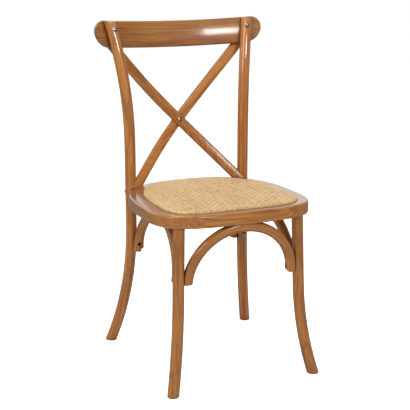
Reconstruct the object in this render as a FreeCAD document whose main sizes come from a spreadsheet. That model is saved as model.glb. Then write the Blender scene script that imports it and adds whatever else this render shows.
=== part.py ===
import FreeCAD, Part
import math
import os

import Sketcher
from FreeCAD import Matrix, Placement, Rotation, Vector

# Cross back chair: bent round legs, a four-piece seat ring with a woven rattan panel,
# a bent crest rail, two crossing back slats and four arched braces under the seat.
# Millimetres, +Z up, the sitter faces -Y, X is the symmetry axis.
# The origin lies on the floor under the middle of the chair's footprint.

# Driving dimensions
SIZES = [
    ("chair_height", 885, "floor to the top of the back posts"),
    ("leg_diameter", 29.5, "round stock of all four legs"),
    ("foot_rounding", 2, "rounding of the lower edge of each foot"),
    ("post_half_span", 165.5, "middle of the chair to the straight part of a back post"),
    ("post_depth", 139.3, "origin back to the straight part of a back post"),
    ("post_bend_angle", 57, "degrees from X of the plane that a back post is bent in"),
    ("post_foot_bend_start", 345, "height where the lower bend of a back post starts"),
    ("post_foot_bend_radius", 790, "radius of the lower bend"),
    ("post_top_bend_start", 560, "height where the upper bend of a back post starts"),
    ("post_top_bend_radius", 900, "radius of the upper bend"),
    ("front_leg_half_span", 161.5, "middle of the chair to the top of a front leg"),
    ("front_leg_depth", 193.5, "origin forward to the top of a front leg"),
    ("front_leg_bend_angle", 50, "degrees from X of the plane that a front leg is bent in"),
    ("front_leg_splay", 2.2, "degrees that the straight part of a front leg leans out"),
    ("front_leg_bend_start", 235, "height where the bend of a front leg starts"),
    ("front_leg_bend_radius", 780, "radius of that bend"),
    ("tenon_diameter", 16, "round tenon on top of a front leg"),
    ("tenon_length", 16, "length of that tenon"),
    ("seat_height", 450, "floor to the top of the seat ring"),
    ("seat_thickness", 32, "thickness of the seat ring"),
    ("seat_half_width", 215.5, "half the greatest width of the seat ring"),
    ("seat_widest", -60, "Y of the widest place of the seat ring"),
    ("seat_front_depth", 175, "widest place to the front of the seat ring"),
    ("seat_rear_depth", 242, "widest place to the back of the seat ring"),
    ("seat_front_power", 3.8, "squareness of the front half of the seat outline"),
    ("seat_rear_power", 2.45, "squareness of the rear half of the seat outline"),
    ("seat_edge_rounding", 6, "rounding of the upper outer edge of the seat ring"),
    ("seat_lower_rounding", 4, "rounding of the lower outer edge of the seat ring"),
    ("panel_half_width", 181, "half the greatest width of the panel recess"),
    ("panel_widest", -90, "Y of the widest place of the panel recess"),
    ("panel_front_depth", 123, "widest place to the front of the panel recess"),
    ("panel_rear_depth", 245, "widest place to the back of the panel recess"),
    ("panel_front_power", 4.3, "squareness of the front half of the recess"),
    ("panel_rear_power", 2.6, "squareness of the rear half of the recess"),
    ("ledge_width", 44, "ledge in the ring that carries the seat board"),
    ("recess_depth", 12, "top of the ring down to the ledge"),
    ("board_thickness", 9, "plywood seat board"),
    ("mat_thickness", 1.8, "woven rattan over the padding"),
    ("mat_rim_rise", 5.5, "rolled rim of the mat above the ring"),
    ("mat_crown", 5, "middle of the mat above its rim"),
    ("panel_gap", 0.8, "gap between the mat and the wall of the recess"),
    ("soft_gap", 0.3, "clearance round the soft layers"),
    ("crest_height", 70.5, "height of the crest rail along its face"),
    ("crest_thickness", 19, "thickness of the crest rail"),
    ("crest_half_length", 238, "middle of the chair to the end of the crest rail"),
    ("crest_bend_radius", 746, "plan radius of the middle of the crest rail"),
    ("crest_tilt", 14, "degrees that the crest rail leans back"),
    ("crest_crown", 2, "swell of the front face of the crest rail"),
    ("crest_edge_rounding", 5, "rounding of the long edges of the crest rail"),
    ("crest_upper_corner", 28, "corner radius of the crest rail's ends, above"),
    ("crest_seat_depth", 2.5, "depth of the flat in each post that the crest rail lies in"),
    ("slat_width", 28, "width of a back slat"),
    ("slat_thickness", 12, "thickness of a back slat"),
    ("slat_rounding", 4.5, "rounding of the long edges of a back slat"),
    ("slat_lap", 2, "depth of the notch in each slat where they cross"),
    ("slat_end_drop", 49, "top of the posts to the hidden upper ends of the slats"),
    ("slat_foot_half_span", 151, "middle of the chair to the middle of a slat's foot"),
    ("slat_foot_depth", 132, "origin back to the middle of a slat's foot"),
    ("slat_lower_half_span", 59, "middle of the chair to the slat at its lower quarter"),
    ("slat_lower_depth", 183, "origin back to the slat there"),
    ("slat_lower_share", 23, "height of that place, percent of the back from the seat up"),
    ("slat_cross_depth", 203, "origin back to the crossing of the slats"),
    ("slat_cross_share", 37.2, "height of the crossing, percent of the back from the seat up"),
    ("slat_upper_half_span", 101, "middle of the chair to the slat at its upper quarter"),
    ("slat_upper_depth", 217, "origin back to the slat there"),
    ("slat_upper_share", 62.1, "height of that place, percent of the back from the seat up"),
    ("slat_top_half_span", 180, "middle of the chair to the slat where it meets the crest rail"),
    ("slat_end_half_span", 198.5, "middle of the chair to the upper end of a slat"),
    ("arch_width", 25, "section of an arch in its own plane"),
    ("arch_depth", 21, "section of an arch across its plane"),
    ("arch_rounding", 8, "corner rounding of that section"),
    ("arch_drop", 144, "underside of the seat down to the lower ends of the arches"),
    ("arch_spring", 3, "straight length of an arch above its end"),
    ("arch_shoulder_share", 90, "radius of the arch's shoulders, percent of its rise"),
    ("arch_end_rounding", 9, "rounding of the inner corner of each arch end"),
    ("arch_flat", 5, "depth of the flat planed on top of each arch"),
    ("arch_let_in", 3, "how far an arch end is hollowed to fit round its leg"),
    ("front_arch_lean", 10.5, "degrees that the front arch leans forward"),
    ("back_arch_lean", 8.3, "degrees that the back arch leans back"),
    ("side_arch_lean", 6, "degrees that each side arch leans inward"),
    ("bolt_diameter", 6, "shank of the domed bolts"),
    ("bolt_head_diameter", 13.5, "domed head"),
    ("bolt_head_height", 4, "height of the dome"),
    ("bolt_sink", 1.5, "depth of the seat that a bolt head or cap sits in"),
    ("crest_bolt_drop", 23, "top of the posts down to the crest bolts"),
    ("crest_bolt_length", 40, "under the head"),
    ("cross_bolt_length", 16.5, "under the head"),
    ("seat_bolt_drop", 13, "top of the ring down to the seat bolts"),
    ("seat_bolt_length", 56, "under the head"),
    ("sleeve_diameter", 8.5, "sleeve of a cap nut"),
    ("sleeve_length", 9, "length of the sleeve under its cap"),
    ("barrel_diameter", 10, "barrel nut in the seat ring"),
    ("barrel_length", 14, "length of the barrel nut"),
    ("screw_diameter", 4, "shank of the wood screws"),
    ("screw_head_diameter", 8.5, "pan head"),
    ("screw_head_height", 3, "height of the pan head"),
    ("arch_screw_length", 30, "under the head"),
    ("slat_screw_length", 22, "under the head"),
    ("board_screw_length", 16, "under the head"),
    ("counterbore_diameter", 10, "sunk holes for the screw heads"),
    ("arch_counterbore", 10, "depth of the sunk holes in the arches"),
    ("board_counterbore", 10, "depth of the sunk holes under the ring"),
    ("arch_screw_rise", 24, "lower end of an arch up to its end screw"),
    ("arch_screw_stagger", 9, "front and back arch screws below those of the side arches"),
    ("side_arch_front_inset", 3, "side arches inward of the middle of the front legs"),
    ("side_arch_rear_inset", 9, "side arches inward of the middle of the back legs"),
    ("joint_front_angle", 48, "degrees from X of the joints at the seat ring's front corners"),
    ("joint_rear_angle", 64, "degrees from X of the joints at the seat ring's rear corners"),
    ("board_screw_offset", 55, "middle of the chair to the seat board's screws"),
    ("board_screw_inset", 22, "wall of the recess in to the seat board's screws"),
    ("seat_bolt_angle", 28, "degrees from X that the seat bolts are turned"),
    ("arch_top_screw_offset", 20, "middle of an arch out to each top screw"),
    ("hole_clearance", 0.1, "added to a shank's radius for its hole"),
    ("dowel_diameter", 8, "dowels in the joints of the seat ring"),
    ("dowel_length", 30, "length of those dowels"),
    ("dowel_spacing", 15, "between the two dowels of a joint"),
    ("foot_dowel_diameter", 6, "dowel under each slat foot"),
    ("foot_dowel_length", 16, "length of that dowel"),
]

doc = FreeCAD.newDocument("cross_back_chair")
sheet = doc.addObject("Spreadsheet::Sheet", "sizes")
for row, (alias, value, meaning) in enumerate(SIZES, start=1):
    sheet.set("A%d" % row, alias)
    sheet.set("B%d" % row, str(value))
    sheet.set("C%d" % row, meaning)
    sheet.setAlias("B%d" % row, alias)
doc.recompute()


class Size:
    """Reads the driving dimensions from the sheet."""

    def __getattr__(self, alias):
        return float(sheet.get(alias))


size = Size()
UP = Vector(0, 0, 1)
MIRROR = Matrix(-1, 0, 0, 0, 0, 1, 0, 0, 0, 0, 1, 0, 0, 0, 0, 1)
LEFT, RIGHT = -1, 1

seat_underside = size.seat_height - size.seat_thickness
arch_end_height = seat_underside - size.arch_drop


def up_the_back(share):
    """Height at a percentage of the way from the seat to the tops of the posts."""
    return size.seat_height + (size.chair_height - size.seat_height) * share / 100


slat_lower_height = up_the_back(size.slat_lower_share)
slat_cross_height = up_the_back(size.slat_cross_share)
slat_upper_height = up_the_back(size.slat_upper_share)
slat_end_height = size.chair_height - size.slat_end_drop
ledge_height = size.seat_height - size.recess_depth
leg_radius = size.leg_diameter / 2
overrun = size.leg_diameter


def bind(thing, **expressions):
    """Ties properties of an object to cells of the sheet."""
    for name, expression in expressions.items():
        thing.setExpression(name, expression)


def side_name(side):
    return "left" if side == LEFT else "right"


def mirrored(point):
    return Vector(-point.x, point.y, point.z)


def on_side(point, side):
    return point if side == RIGHT else mirrored(point)


def aim(point, direction):
    """Placement that turns Z along a direction."""
    return Placement(point, Rotation(UP, direction))


def turned_frame(origin, x_axis, z_axis):
    """Placement from an origin and two of its axes."""
    y_axis = z_axis.cross(x_axis)
    return Placement(origin, Rotation(x_axis, y_axis, z_axis, "ZXY"))


def feature(name, shape):
    thing = doc.addObject("Part::Feature", name)
    thing.Shape = shape
    return thing


def fused(shapes):
    return shapes[0].multiFuse(shapes[1:]) if len(shapes) > 1 else shapes[0]


def cylinder(placement, radius, start, end):
    """Cylinder along a placement's Z, from one height to another."""
    form = Part.makeCylinder(radius, end - start, Vector(0, 0, start), UP)
    form.Placement = placement
    return form


def slab(low, high, reach=600):
    """Everything between two heights."""
    return Part.makeBox(2 * reach, 2 * reach, high - low, Vector(-reach, -reach, low))


# Round bars bent in one plane. Local X points outward in the bar's own plane, Z is up.

def plane_frame(half_span, depth, angle, side):
    foot = Vector(side * half_span, depth, 0)
    outward = angle if side == RIGHT else 180 - angle
    return Placement(foot, Rotation(UP, outward))


def bend_frame(centre, start, sweep):
    """Local frame of a torus that starts at one direction and sweeps towards another."""
    return Placement(centre, Rotation(start, sweep, start.cross(sweep), "ZXY"))


def bar_straight(name, base, local, height):
    straight = doc.addObject("Part::Cylinder", name)
    bind(straight, Radius="sizes.leg_diameter / 2")
    straight.Height = height
    straight.Placement = base.multiply(local)
    return straight


def bar_bend(name, base, local, radius_cell, angle):
    bend = doc.addObject("Part::Torus", name)
    bind(bend, Radius1="sizes." + radius_cell, Radius2="sizes.leg_diameter / 2")
    bend.Angle3 = angle
    bend.Placement = base.multiply(local)
    return bend


def trimmed_bar(name, pieces, top):
    """Joins the runs of a bar and saws it off level at the floor and at its top."""
    whole = doc.addObject("Part::MultiFuse", name + "_runs")
    whole.Shapes = pieces
    saw = doc.addObject("Part::Box", name + "_saw")
    saw.Length = 1200
    saw.Width = 1200
    bind(saw, Height=top)
    saw.Placement = Placement(Vector(-600, -600, 0), Rotation())
    bar = doc.addObject("Part::Common", name + "_bar")
    bar.Base = whole
    bar.Tool = saw
    return bar


post_reach = math.asin(size.post_foot_bend_start / size.post_foot_bend_radius)
post_rise = math.asin((size.chair_height - size.post_top_bend_start) / size.post_top_bend_radius)
margin = 4


def post_offset(height):
    """How far the middle of a back post is bent outward at a height."""
    if height < size.post_foot_bend_start:
        drop = size.post_foot_bend_start - height
        return size.post_foot_bend_radius * (1 - math.cos(math.asin(drop / size.post_foot_bend_radius)))
    if height > size.post_top_bend_start:
        rise = height - size.post_top_bend_start
        return size.post_top_bend_radius * (1 - math.cos(math.asin(rise / size.post_top_bend_radius)))
    return 0


def post_centre(height, side=RIGHT):
    angle = math.radians(size.post_bend_angle)
    offset = post_offset(height)
    x = size.post_half_span + offset * math.cos(angle)
    y = size.post_depth + offset * math.sin(angle)
    return Vector(side * x, y, height)


def post_direction(height, side=RIGHT):
    step = 1
    return (post_centre(height + step, side) - post_centre(height - step, side)).normalize()


def make_post(side):
    name = "post_" + side_name(side)
    base = plane_frame(size.post_half_span, size.post_depth, size.post_bend_angle, side)
    low = size.post_foot_bend_start
    high = size.post_top_bend_start
    middle = bar_straight(name + "_straight", base, Placement(Vector(0, 0, low), Rotation()), high - low)
    middle.setExpression("Height", "sizes.post_top_bend_start - sizes.post_foot_bend_start")
    lower_frame = bend_frame(Vector(size.post_foot_bend_radius, 0, low), Vector(-1, 0, 0), Vector(0, 0, -1))
    upper_frame = bend_frame(Vector(size.post_top_bend_radius, 0, high), Vector(-1, 0, 0), UP)
    lower = bar_bend(name + "_foot_bend", base, lower_frame, "post_foot_bend_radius",
                     math.degrees(post_reach) + margin)
    upper = bar_bend(name + "_top_bend", base, upper_frame, "post_top_bend_radius",
                     math.degrees(post_rise) + margin)
    return trimmed_bar(name, [middle, lower, upper], "sizes.chair_height")


splay = math.radians(size.front_leg_splay)
leg_bend_lift = size.front_leg_bend_start + size.front_leg_bend_radius * math.sin(splay)
leg_bend_angle = math.asin(leg_bend_lift / size.front_leg_bend_radius) - splay
leg_straight = (seat_underside - size.front_leg_bend_start) / math.cos(splay)


def leg_offset(height):
    """How far the middle of a front leg is bent outward at a height."""
    if height >= size.front_leg_bend_start:
        return (seat_underside - height) * math.tan(splay)
    start = leg_straight * math.sin(splay)
    turn = math.asin((leg_bend_lift - height) / size.front_leg_bend_radius)
    return start + size.front_leg_bend_radius * (math.cos(splay) - math.cos(turn))


def leg_centre(height, side=RIGHT):
    angle = math.radians(size.front_leg_bend_angle)
    offset = leg_offset(height)
    x = size.front_leg_half_span + offset * math.cos(angle)
    y = -size.front_leg_depth - offset * math.sin(angle)
    return Vector(side * x, y, height)


def make_front_leg(side):
    name = "leg_" + side_name(side)
    base = plane_frame(size.front_leg_half_span, -size.front_leg_depth, -size.front_leg_bend_angle, side)
    down = Vector(math.sin(splay), 0, -math.cos(splay))
    out = Vector(math.cos(splay), 0, math.sin(splay))
    start = Vector(0, 0, seat_underside) + down * leg_straight
    straight = bar_straight(name + "_straight", base, aim(start, -down), leg_straight + overrun)
    bend = bar_bend(name + "_bend", base, bend_frame(start + out * size.front_leg_bend_radius, -out, down),
                    "front_leg_bend_radius", math.degrees(leg_bend_angle) + margin)
    bar = trimmed_bar(name, [straight, bend], "sizes.seat_height - sizes.seat_thickness")
    tenon = doc.addObject("Part::Cylinder", name + "_tenon")
    bind(tenon, Radius="sizes.tenon_diameter / 2", Height="sizes.tenon_length + sizes.leg_diameter")
    tenon_foot = Vector(0, 0, seat_underside) + down * size.leg_diameter
    tenon.Placement = base.multiply(aim(tenon_foot, -down))
    whole = doc.addObject("Part::MultiFuse", name + "_with_tenon")
    whole.Shapes = [bar, tenon]
    return whole


right_post = make_post(RIGHT)
right_leg = make_front_leg(RIGHT)
doc.recompute()


def rounded_foot(bar):
    """Rounds the lower edge of a foot."""
    rounding = doc.addObject("Part::Fillet", bar.Name + "_foot")
    rounding.Base = bar
    low = [n for n, edge in enumerate(bar.Shape.Edges, start=1) if edge.BoundBox.ZMax < 0.01]
    rounding.Edges = [(n, size.foot_rounding, size.foot_rounding) for n in low]
    return rounding


def mirror_image(form):
    """The same form on the other side of the chair."""
    mirror = doc.addObject("Part::Mirroring", form.Name + "_left")
    mirror.Source = form
    mirror.Base = Vector(0, 0, 0)
    mirror.Normal = Vector(1, 0, 0)
    return mirror


post_forms = {RIGHT: rounded_foot(right_post)}
post_forms[LEFT] = mirror_image(post_forms[RIGHT])
leg_forms = {RIGHT: rounded_foot(right_leg)}
leg_forms[LEFT] = mirror_image(leg_forms[RIGHT])
doc.recompute()


# Seat ring and the outlines that the seat is made of

def superellipse(half_width, widest, front_depth, rear_depth, front_power, rear_power, count=7):
    """Places and directions along the right half of an outline, from its front to its back."""
    places = []
    for step in range(count):
        angle = math.pi * (step / (count - 1) - 0.5)
        cosine = abs(math.cos(angle)) if 0 < step < count - 1 else 0
        sine = math.sin(angle)
        depth = front_depth if sine < 0 else rear_depth
        power = front_power if sine < 0 else rear_power
        reach = ((cosine / half_width) ** power + (abs(sine) / depth) ** power) ** (-1 / power)
        across = (reach * cosine / half_width) ** (power - 1) / half_width
        along = math.copysign((reach * abs(sine) / depth) ** (power - 1) / depth, sine)
        point = Vector(reach * cosine, widest + reach * sine, 0)
        places.append((point, Vector(-along, across, 0).normalize()))
    return places


def seat_outline(inset=0):
    return superellipse(size.seat_half_width - inset, size.seat_widest, size.seat_front_depth - inset,
                        size.seat_rear_depth - inset, size.seat_front_power, size.seat_rear_power)


def panel_outline(inset=0):
    return superellipse(size.panel_half_width - inset, size.panel_widest, size.panel_front_depth - inset,
                        size.panel_rear_depth - inset, size.panel_front_power, size.panel_rear_power)


def arc_from(start, direction, end):
    """Arc that leaves its start in a direction and ends at a point."""
    chord = end - start
    square = UP.cross(direction)
    radius = chord.dot(chord) / (2 * square.dot(chord))
    centre = start + square * radius
    bulge = (start + end) * 0.5 - centre
    return Part.Arc(start, centre + bulge.normalize() * abs(radius), end)


def arc_pair(first, last):
    """Two tangent arcs between two places, each with its direction."""
    (start, leaving), (end, arriving) = first, last
    chord = end - start
    spread = 2 * (1 - leaving.dot(arriving))
    lean = chord.dot(leaving + arriving)
    reach = (math.sqrt(lean ** 2 + spread * chord.dot(chord)) - lean) / spread
    joint = (start + end + (leaving - arriving) * reach) * 0.5
    turning = (joint - start).normalize()
    passing = turning * 2 * turning.dot(leaving) - leaving
    return [arc_from(start, leaving, joint), arc_from(joint, passing, end)]


def outline_curves(places):
    """Closed outline of tangent arcs: the right half and its mirror image."""
    left = [(mirrored(point), Vector(direction.x, -direction.y, 0)) for point, direction in reversed(places)]
    curves = []
    for half in (places, left):
        for first, last in zip(half, half[1:]):
            curves += arc_pair(first, last)
    return curves


def outline_wire(points, height):
    wire = Part.Wire([curve.toShape() for curve in outline_curves(points)])
    wire.translate(Vector(0, 0, height))
    return wire


def origin_plane(body, role):
    return next(item for item in body.Origin.OriginFeatures if item.Role == role)


def new_body(name, placement=None):
    body = doc.addObject("PartDesign::Body", name)
    if placement:
        body.Placement = placement
    return body


def new_sketch(body, name, role="XY_Plane", lift=None):
    sketch = body.newObject("Sketcher::SketchObject", body.Name + "_" + name)
    sketch.AttachmentSupport = [(origin_plane(body, role), "")]
    sketch.MapMode = "FlatFace"
    if lift:
        sketch.setExpression("AttachmentOffset.Base.z", lift)
    return sketch


def pad(body, sketch, length):
    thing = body.newObject("PartDesign::Pad", sketch.Name + "_pad")
    thing.Profile = sketch
    thing.setExpression("Length", length)
    return thing


def pocket(body, sketch, length=None):
    """Cuts down from a sketch, or right through to both sides."""
    thing = body.newObject("PartDesign::Pocket", sketch.Name + "_cut")
    thing.Profile = sketch
    if length:
        thing.setExpression("Length", length)
    else:
        thing.Type = 1
        thing.Midplane = True
    return thing


def rounded_edges(body, base, chosen, radius, name):
    doc.recompute()
    names = ["Edge%d" % n for n, edge in enumerate(base.Shape.Edges, start=1) if chosen(edge)]
    thing = body.newObject("PartDesign::Fillet", body.Name + "_" + name)
    thing.Base = (base, names)
    thing.setExpression("Radius", radius)
    return thing


def level(edge, height):
    return abs(edge.BoundBox.ZMin - height) < 0.01 and abs(edge.BoundBox.ZMax - height) < 0.01


def on_rim(edge):
    """True for the edges of the seat's own outline, not for those of the opening inside it."""
    middle = edge.valueAt((edge.FirstParameter + edge.LastParameter) / 2)
    run = middle.y - size.seat_widest
    depth = size.seat_front_depth if run < 0 else size.seat_rear_depth
    power = size.seat_front_power if run < 0 else size.seat_rear_power
    return (abs(middle.x) / size.seat_half_width) ** power + (abs(run) / depth) ** power > 0.9


ring = new_body("seat_ring")
ring_sketch = new_sketch(ring, "outline", lift="sizes.seat_height - sizes.seat_thickness")
for curve in outline_curves(seat_outline()):
    ring_sketch.addGeometry(curve, False)
ring_pad = pad(ring, ring_sketch, "sizes.seat_thickness")
opening_sketch = new_sketch(ring, "opening", lift="sizes.seat_height")
for curve in outline_curves(panel_outline(size.ledge_width)):
    opening_sketch.addGeometry(curve, False)
opening_cut = pocket(ring, opening_sketch, "sizes.seat_thickness + 1")
recess_sketch = new_sketch(ring, "recess", lift="sizes.seat_height")
for curve in outline_curves(panel_outline()):
    recess_sketch.addGeometry(curve, False)
recess_cut = pocket(ring, recess_sketch, "sizes.recess_depth")
top_rounding = rounded_edges(
    ring, recess_cut,
    lambda edge: level(edge, size.seat_height) and on_rim(edge),
    "sizes.seat_edge_rounding", "upper_rounding")
low_rounding = rounded_edges(
    ring, top_rounding,
    lambda edge: level(edge, seat_underside) and on_rim(edge),
    "sizes.seat_lower_rounding", "lower_rounding")
ring.Tip = low_rounding
doc.recompute()


# Arches: a rectangular section with round corners along a three-centre arch.
# Local X runs along the span from the first end, Z up in the leaning plane of the arch.

def rounded_section(sketch, half_x, half_y, radius):
    """Rectangle round the sketch's origin with rounded corners."""
    corners = [(1, 1, 0), (-1, 1, 90), (-1, -1, 180), (1, -1, 270)]
    arcs = []
    for x, y, start in corners:
        centre = Vector(x * (half_x - radius), y * (half_y - radius), 0)
        first = centre + Rotation(UP, start).multVec(Vector(radius, 0, 0))
        middle = centre + Rotation(UP, start + 45).multVec(Vector(radius, 0, 0))
        last = centre + Rotation(UP, start + 90).multVec(Vector(radius, 0, 0))
        arcs.append((first, middle, last))
    for (first, middle, last), following in zip(arcs, arcs[1:] + arcs[:1]):
        sketch.addGeometry(Part.Arc(first, middle, last), False)
        sketch.addGeometry(Part.LineSegment(last, following[0]), False)


def arch_radii(span, rise):
    """Radius of the shoulders and of the top at the middle line."""
    half = span / 2
    shoulder = min(half, rise) * size.arch_shoulder_share / 100
    top = ((half - shoulder) ** 2 + rise ** 2 - shoulder ** 2) / (2 * (rise - shoulder))
    return shoulder, top


def arch_bends(span, rise):
    """Radius and turn of each bend of an arch, from its first spring to its second."""
    half = span / 2
    shoulder, top = arch_radii(span, rise)
    turn = math.degrees(math.atan2(top - rise, half - shoulder))
    return [(shoulder, turn), (top, 2 * (90 - turn)), (shoulder, turn)]


def arch_section(body, name, place):
    """Section of an arch, square to its line at a place."""
    sketch = body.newObject("Sketcher::SketchObject", body.Name + "_" + name)
    sketch.Placement = place
    rounded_section(sketch, size.arch_width / 2, size.arch_depth / 2, size.arch_rounding)
    return sketch


def arch_bend(body, name, place, radius, turn):
    """Bends the bar on from a place, and gives the place where the bend ends."""
    sketch = arch_section(body, name, place)
    sketch.addGeometry(Part.LineSegment(Vector(radius, -50, 0), Vector(radius, 50, 0)), True)
    bend = body.newObject("PartDesign::Revolution", sketch.Name + "_bend")
    bend.Profile = sketch
    bend.ReferenceAxis = (sketch, ["Axis0"])
    bend.Angle = turn
    about = FreeCAD.Placement(Vector(radius, 0, 0), Rotation(Vector(0, 1, 0), turn))
    return place * about * FreeCAD.Placement(Vector(-radius, 0, 0), Rotation())


def make_arch(name, first_end, along, span, lean):
    """Arch from its first end along a level direction, leaning to its left by an angle."""
    tilt = math.radians(lean)
    across = UP.cross(along)
    rising = UP * math.cos(tilt) + across * math.sin(tilt)
    room = seat_underside + size.arch_flat - arch_end_height
    level_top = (size.arch_depth / 2 - size.arch_rounding) * abs(math.sin(tilt)) + size.arch_rounding
    reach = (room - level_top) / math.cos(tilt) + size.arch_rounding
    rise = reach - size.arch_spring - size.arch_width / 2
    body = new_body(name, turned_frame(first_end, along, rising))
    pad(body, arch_section(body, "first_end", FreeCAD.Placement()), "sizes.arch_spring")
    place = FreeCAD.Placement(Vector(0, 0, size.arch_spring), Rotation())
    for number, (radius, turn) in enumerate(arch_bends(span, rise), start=1):
        place = arch_bend(body, "bend_%d" % number, place, radius, turn)
    pad(body, arch_section(body, "last_end", place), "sizes.arch_spring")
    ends = new_sketch(body, "ends", "XZ_Plane")
    rounding = size.arch_end_rounding
    curve = rounding * (1 - math.cos(math.pi / 4))
    for mirror in (1, -1):
        def corner(x, y):
            local = size.arch_width / 2 + x
            return Vector(local if mirror == 1 else span - local, y, 0)
        outside = [corner(-rounding, 0), corner(-rounding, -1), corner(1, -1), corner(1, rounding),
                   corner(0, rounding)]
        for start, end in zip(outside, outside[1:]):
            ends.addGeometry(Part.LineSegment(start, end), False)
        ends.addGeometry(Part.Arc(outside[-1], corner(-curve, curve), outside[0]), False)
    doc.recompute()
    cut = pocket(body, ends)
    body.Tip = cut
    return {"body": body, "span": span, "rise": rise, "start": first_end, "along": along, "across": across,
            "lean": tilt}


def reach_in(point, toward):
    """Middle of an arch end that is let into the round leg beside it."""
    return point + toward * (leg_radius + size.arch_width / 2 - size.arch_let_in)


east = Vector(1, 0, 0)
north = Vector(0, 1, 0)
low_leg = leg_centre(arch_end_height)
low_post = post_centre(arch_end_height)
front_start = reach_in(mirrored(low_leg), east)
front_arch = make_arch("front_arch_form", front_start, east, -2 * front_start.x, -size.front_arch_lean)
back_start = reach_in(mirrored(low_post), east)
back_arch = make_arch("back_arch_form", back_start, east, -2 * back_start.x, size.back_arch_lean)
side_front = reach_in(low_leg - Vector(size.side_arch_front_inset, 0, 0), north)
side_back = reach_in(low_post - Vector(size.side_arch_rear_inset, 0, 0), -north)
side_run = side_back - side_front
side_arches = {
    RIGHT: make_arch("right_arch_form", side_front, Vector(side_run).normalize(), side_run.Length,
                     size.side_arch_lean),
    LEFT: make_arch("left_arch_form", mirrored(side_front), mirrored(side_run).normalize(), side_run.Length,
                    -size.side_arch_lean),
}
doc.recompute()


# Crest rail: turned section of a board that is bent round an axis that leans back.
# Local X points back from the bend axis, Z up along the board, so local Y runs to the left.

tilt = math.radians(size.crest_tilt)
crest_up = Vector(0, math.sin(tilt), math.cos(tilt))
crest_back = Vector(0, math.cos(tilt), -math.sin(tilt))
crest_radius = size.crest_bend_radius
half_crest = size.crest_height / 2


def crest_axis():
    """Point on the bend axis at the middle of the board's height."""
    bearing = post_centre(size.chair_height - half_crest)
    offset = leg_radius - size.crest_seat_depth + size.crest_thickness / 2
    back = math.sqrt((crest_radius - offset) ** 2 - bearing.x ** 2)
    axis_back = bearing.dot(crest_back) - back
    sag = math.sqrt(crest_radius ** 2 - bearing.x ** 2)
    edge_back = axis_back + sag
    top = (size.chair_height + edge_back * math.sin(tilt)) / math.cos(tilt)
    return crest_back * axis_back + crest_up * (top - half_crest)


crest_centre = crest_axis()


def crest_point(x, lift, radius):
    """Point at a distance from the middle, a height along the board and a bend radius."""
    back = math.sqrt(radius ** 2 - x ** 2)
    return crest_centre + crest_back * back + crest_up * lift + Vector(x, 0, 0)


def crest_outward(x):
    """Direction square to the board, towards its back."""
    return (crest_back * math.sqrt(crest_radius ** 2 - x ** 2) + Vector(x, 0, 0)).normalize()


def crest_lift(x, height):
    """Height along the board of the place on its back at a height above the floor."""
    flat = crest_point(x, 0, crest_radius + size.crest_thickness / 2)
    return (height - flat.z) / math.cos(tilt)


crest = new_body("crest_form", turned_frame(crest_centre, crest_back, crest_up))
board = new_sketch(crest, "section", "XZ_Plane")
front_face = crest_radius - size.crest_thickness / 2
back_face = crest_radius + size.crest_thickness / 2
round_off = size.crest_edge_rounding
slope = size.crest_crown
corner = round_off * (1 - math.cos(math.pi / 4))
low_front = Vector(front_face + slope, -half_crest + round_off, 0)
high_front = Vector(front_face + slope, half_crest - round_off, 0)
top_front = Vector(front_face + slope + round_off, half_crest, 0)
top_back = Vector(back_face - round_off, half_crest, 0)
high_back = Vector(back_face, half_crest - round_off, 0)
low_back = Vector(back_face, -half_crest + round_off, 0)
foot_back = Vector(back_face - round_off, -half_crest, 0)
foot_front = Vector(front_face + slope + round_off, -half_crest, 0)
board.addGeometry(Part.Arc(low_front, Vector(front_face, 0, 0), high_front), False)
high_middle = Vector(front_face + slope + corner, half_crest - corner, 0)
board.addGeometry(Part.Arc(high_front, high_middle, top_front), False)
board.addGeometry(Part.LineSegment(top_front, top_back), False)
board.addGeometry(Part.Arc(top_back, Vector(back_face - corner, half_crest - corner, 0), high_back), False)
board.addGeometry(Part.LineSegment(high_back, low_back), False)
board.addGeometry(Part.Arc(low_back, Vector(back_face - corner, -half_crest + corner, 0), foot_back), False)
board.addGeometry(Part.LineSegment(foot_back, foot_front), False)
low_middle = Vector(front_face + slope + corner, -half_crest + corner, 0)
board.addGeometry(Part.Arc(foot_front, low_middle, low_front), False)
bent = crest.newObject("PartDesign::Revolution", "crest_bend")
bent.Profile = board
bent.ReferenceAxis = (board, ["V_Axis"])
bent.Midplane = True
bent.Angle = 2 * math.degrees(math.asin(size.crest_half_length / crest_radius)) + 2
doc.recompute()
crest_ends = new_sketch(crest, "ends", "YZ_Plane")
upper = size.crest_upper_corner
lower = size.crest_height - upper
widest = half_crest - upper
for mirror in (1, -1):
    def place(x, z):
        return Vector(mirror * x, z, 0)
    end = size.crest_half_length
    bow = 1 - math.cos(math.pi / 4)
    beyond = end + 40
    high = place(end - upper, half_crest)
    tip = place(end, widest)
    low = place(end - lower, -half_crest)
    upper_middle = place(end - upper * bow, half_crest - upper * bow)
    lower_middle = place(end - lower * bow, -half_crest + lower * bow)
    crest_ends.addGeometry(Part.Arc(high, upper_middle, tip), False)
    crest_ends.addGeometry(Part.Arc(tip, lower_middle, low), False)
    outside = [low, place(end - lower, -half_crest - 20), place(beyond, -half_crest - 20),
               place(beyond, half_crest + 20), place(end - upper, half_crest + 20), high]
    for start, finish in zip(outside, outside[1:]):
        crest_ends.addGeometry(Part.LineSegment(start, finish), False)
crest_shaped = pocket(crest, crest_ends)
crest.Tip = crest_shaped
doc.recompute()


# Back slats: a flat bar that stands on the ring behind a corner, leans back, crosses the other
# slat and lies against the back of the crest rail. Given for the slat that rises to the right.

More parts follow.
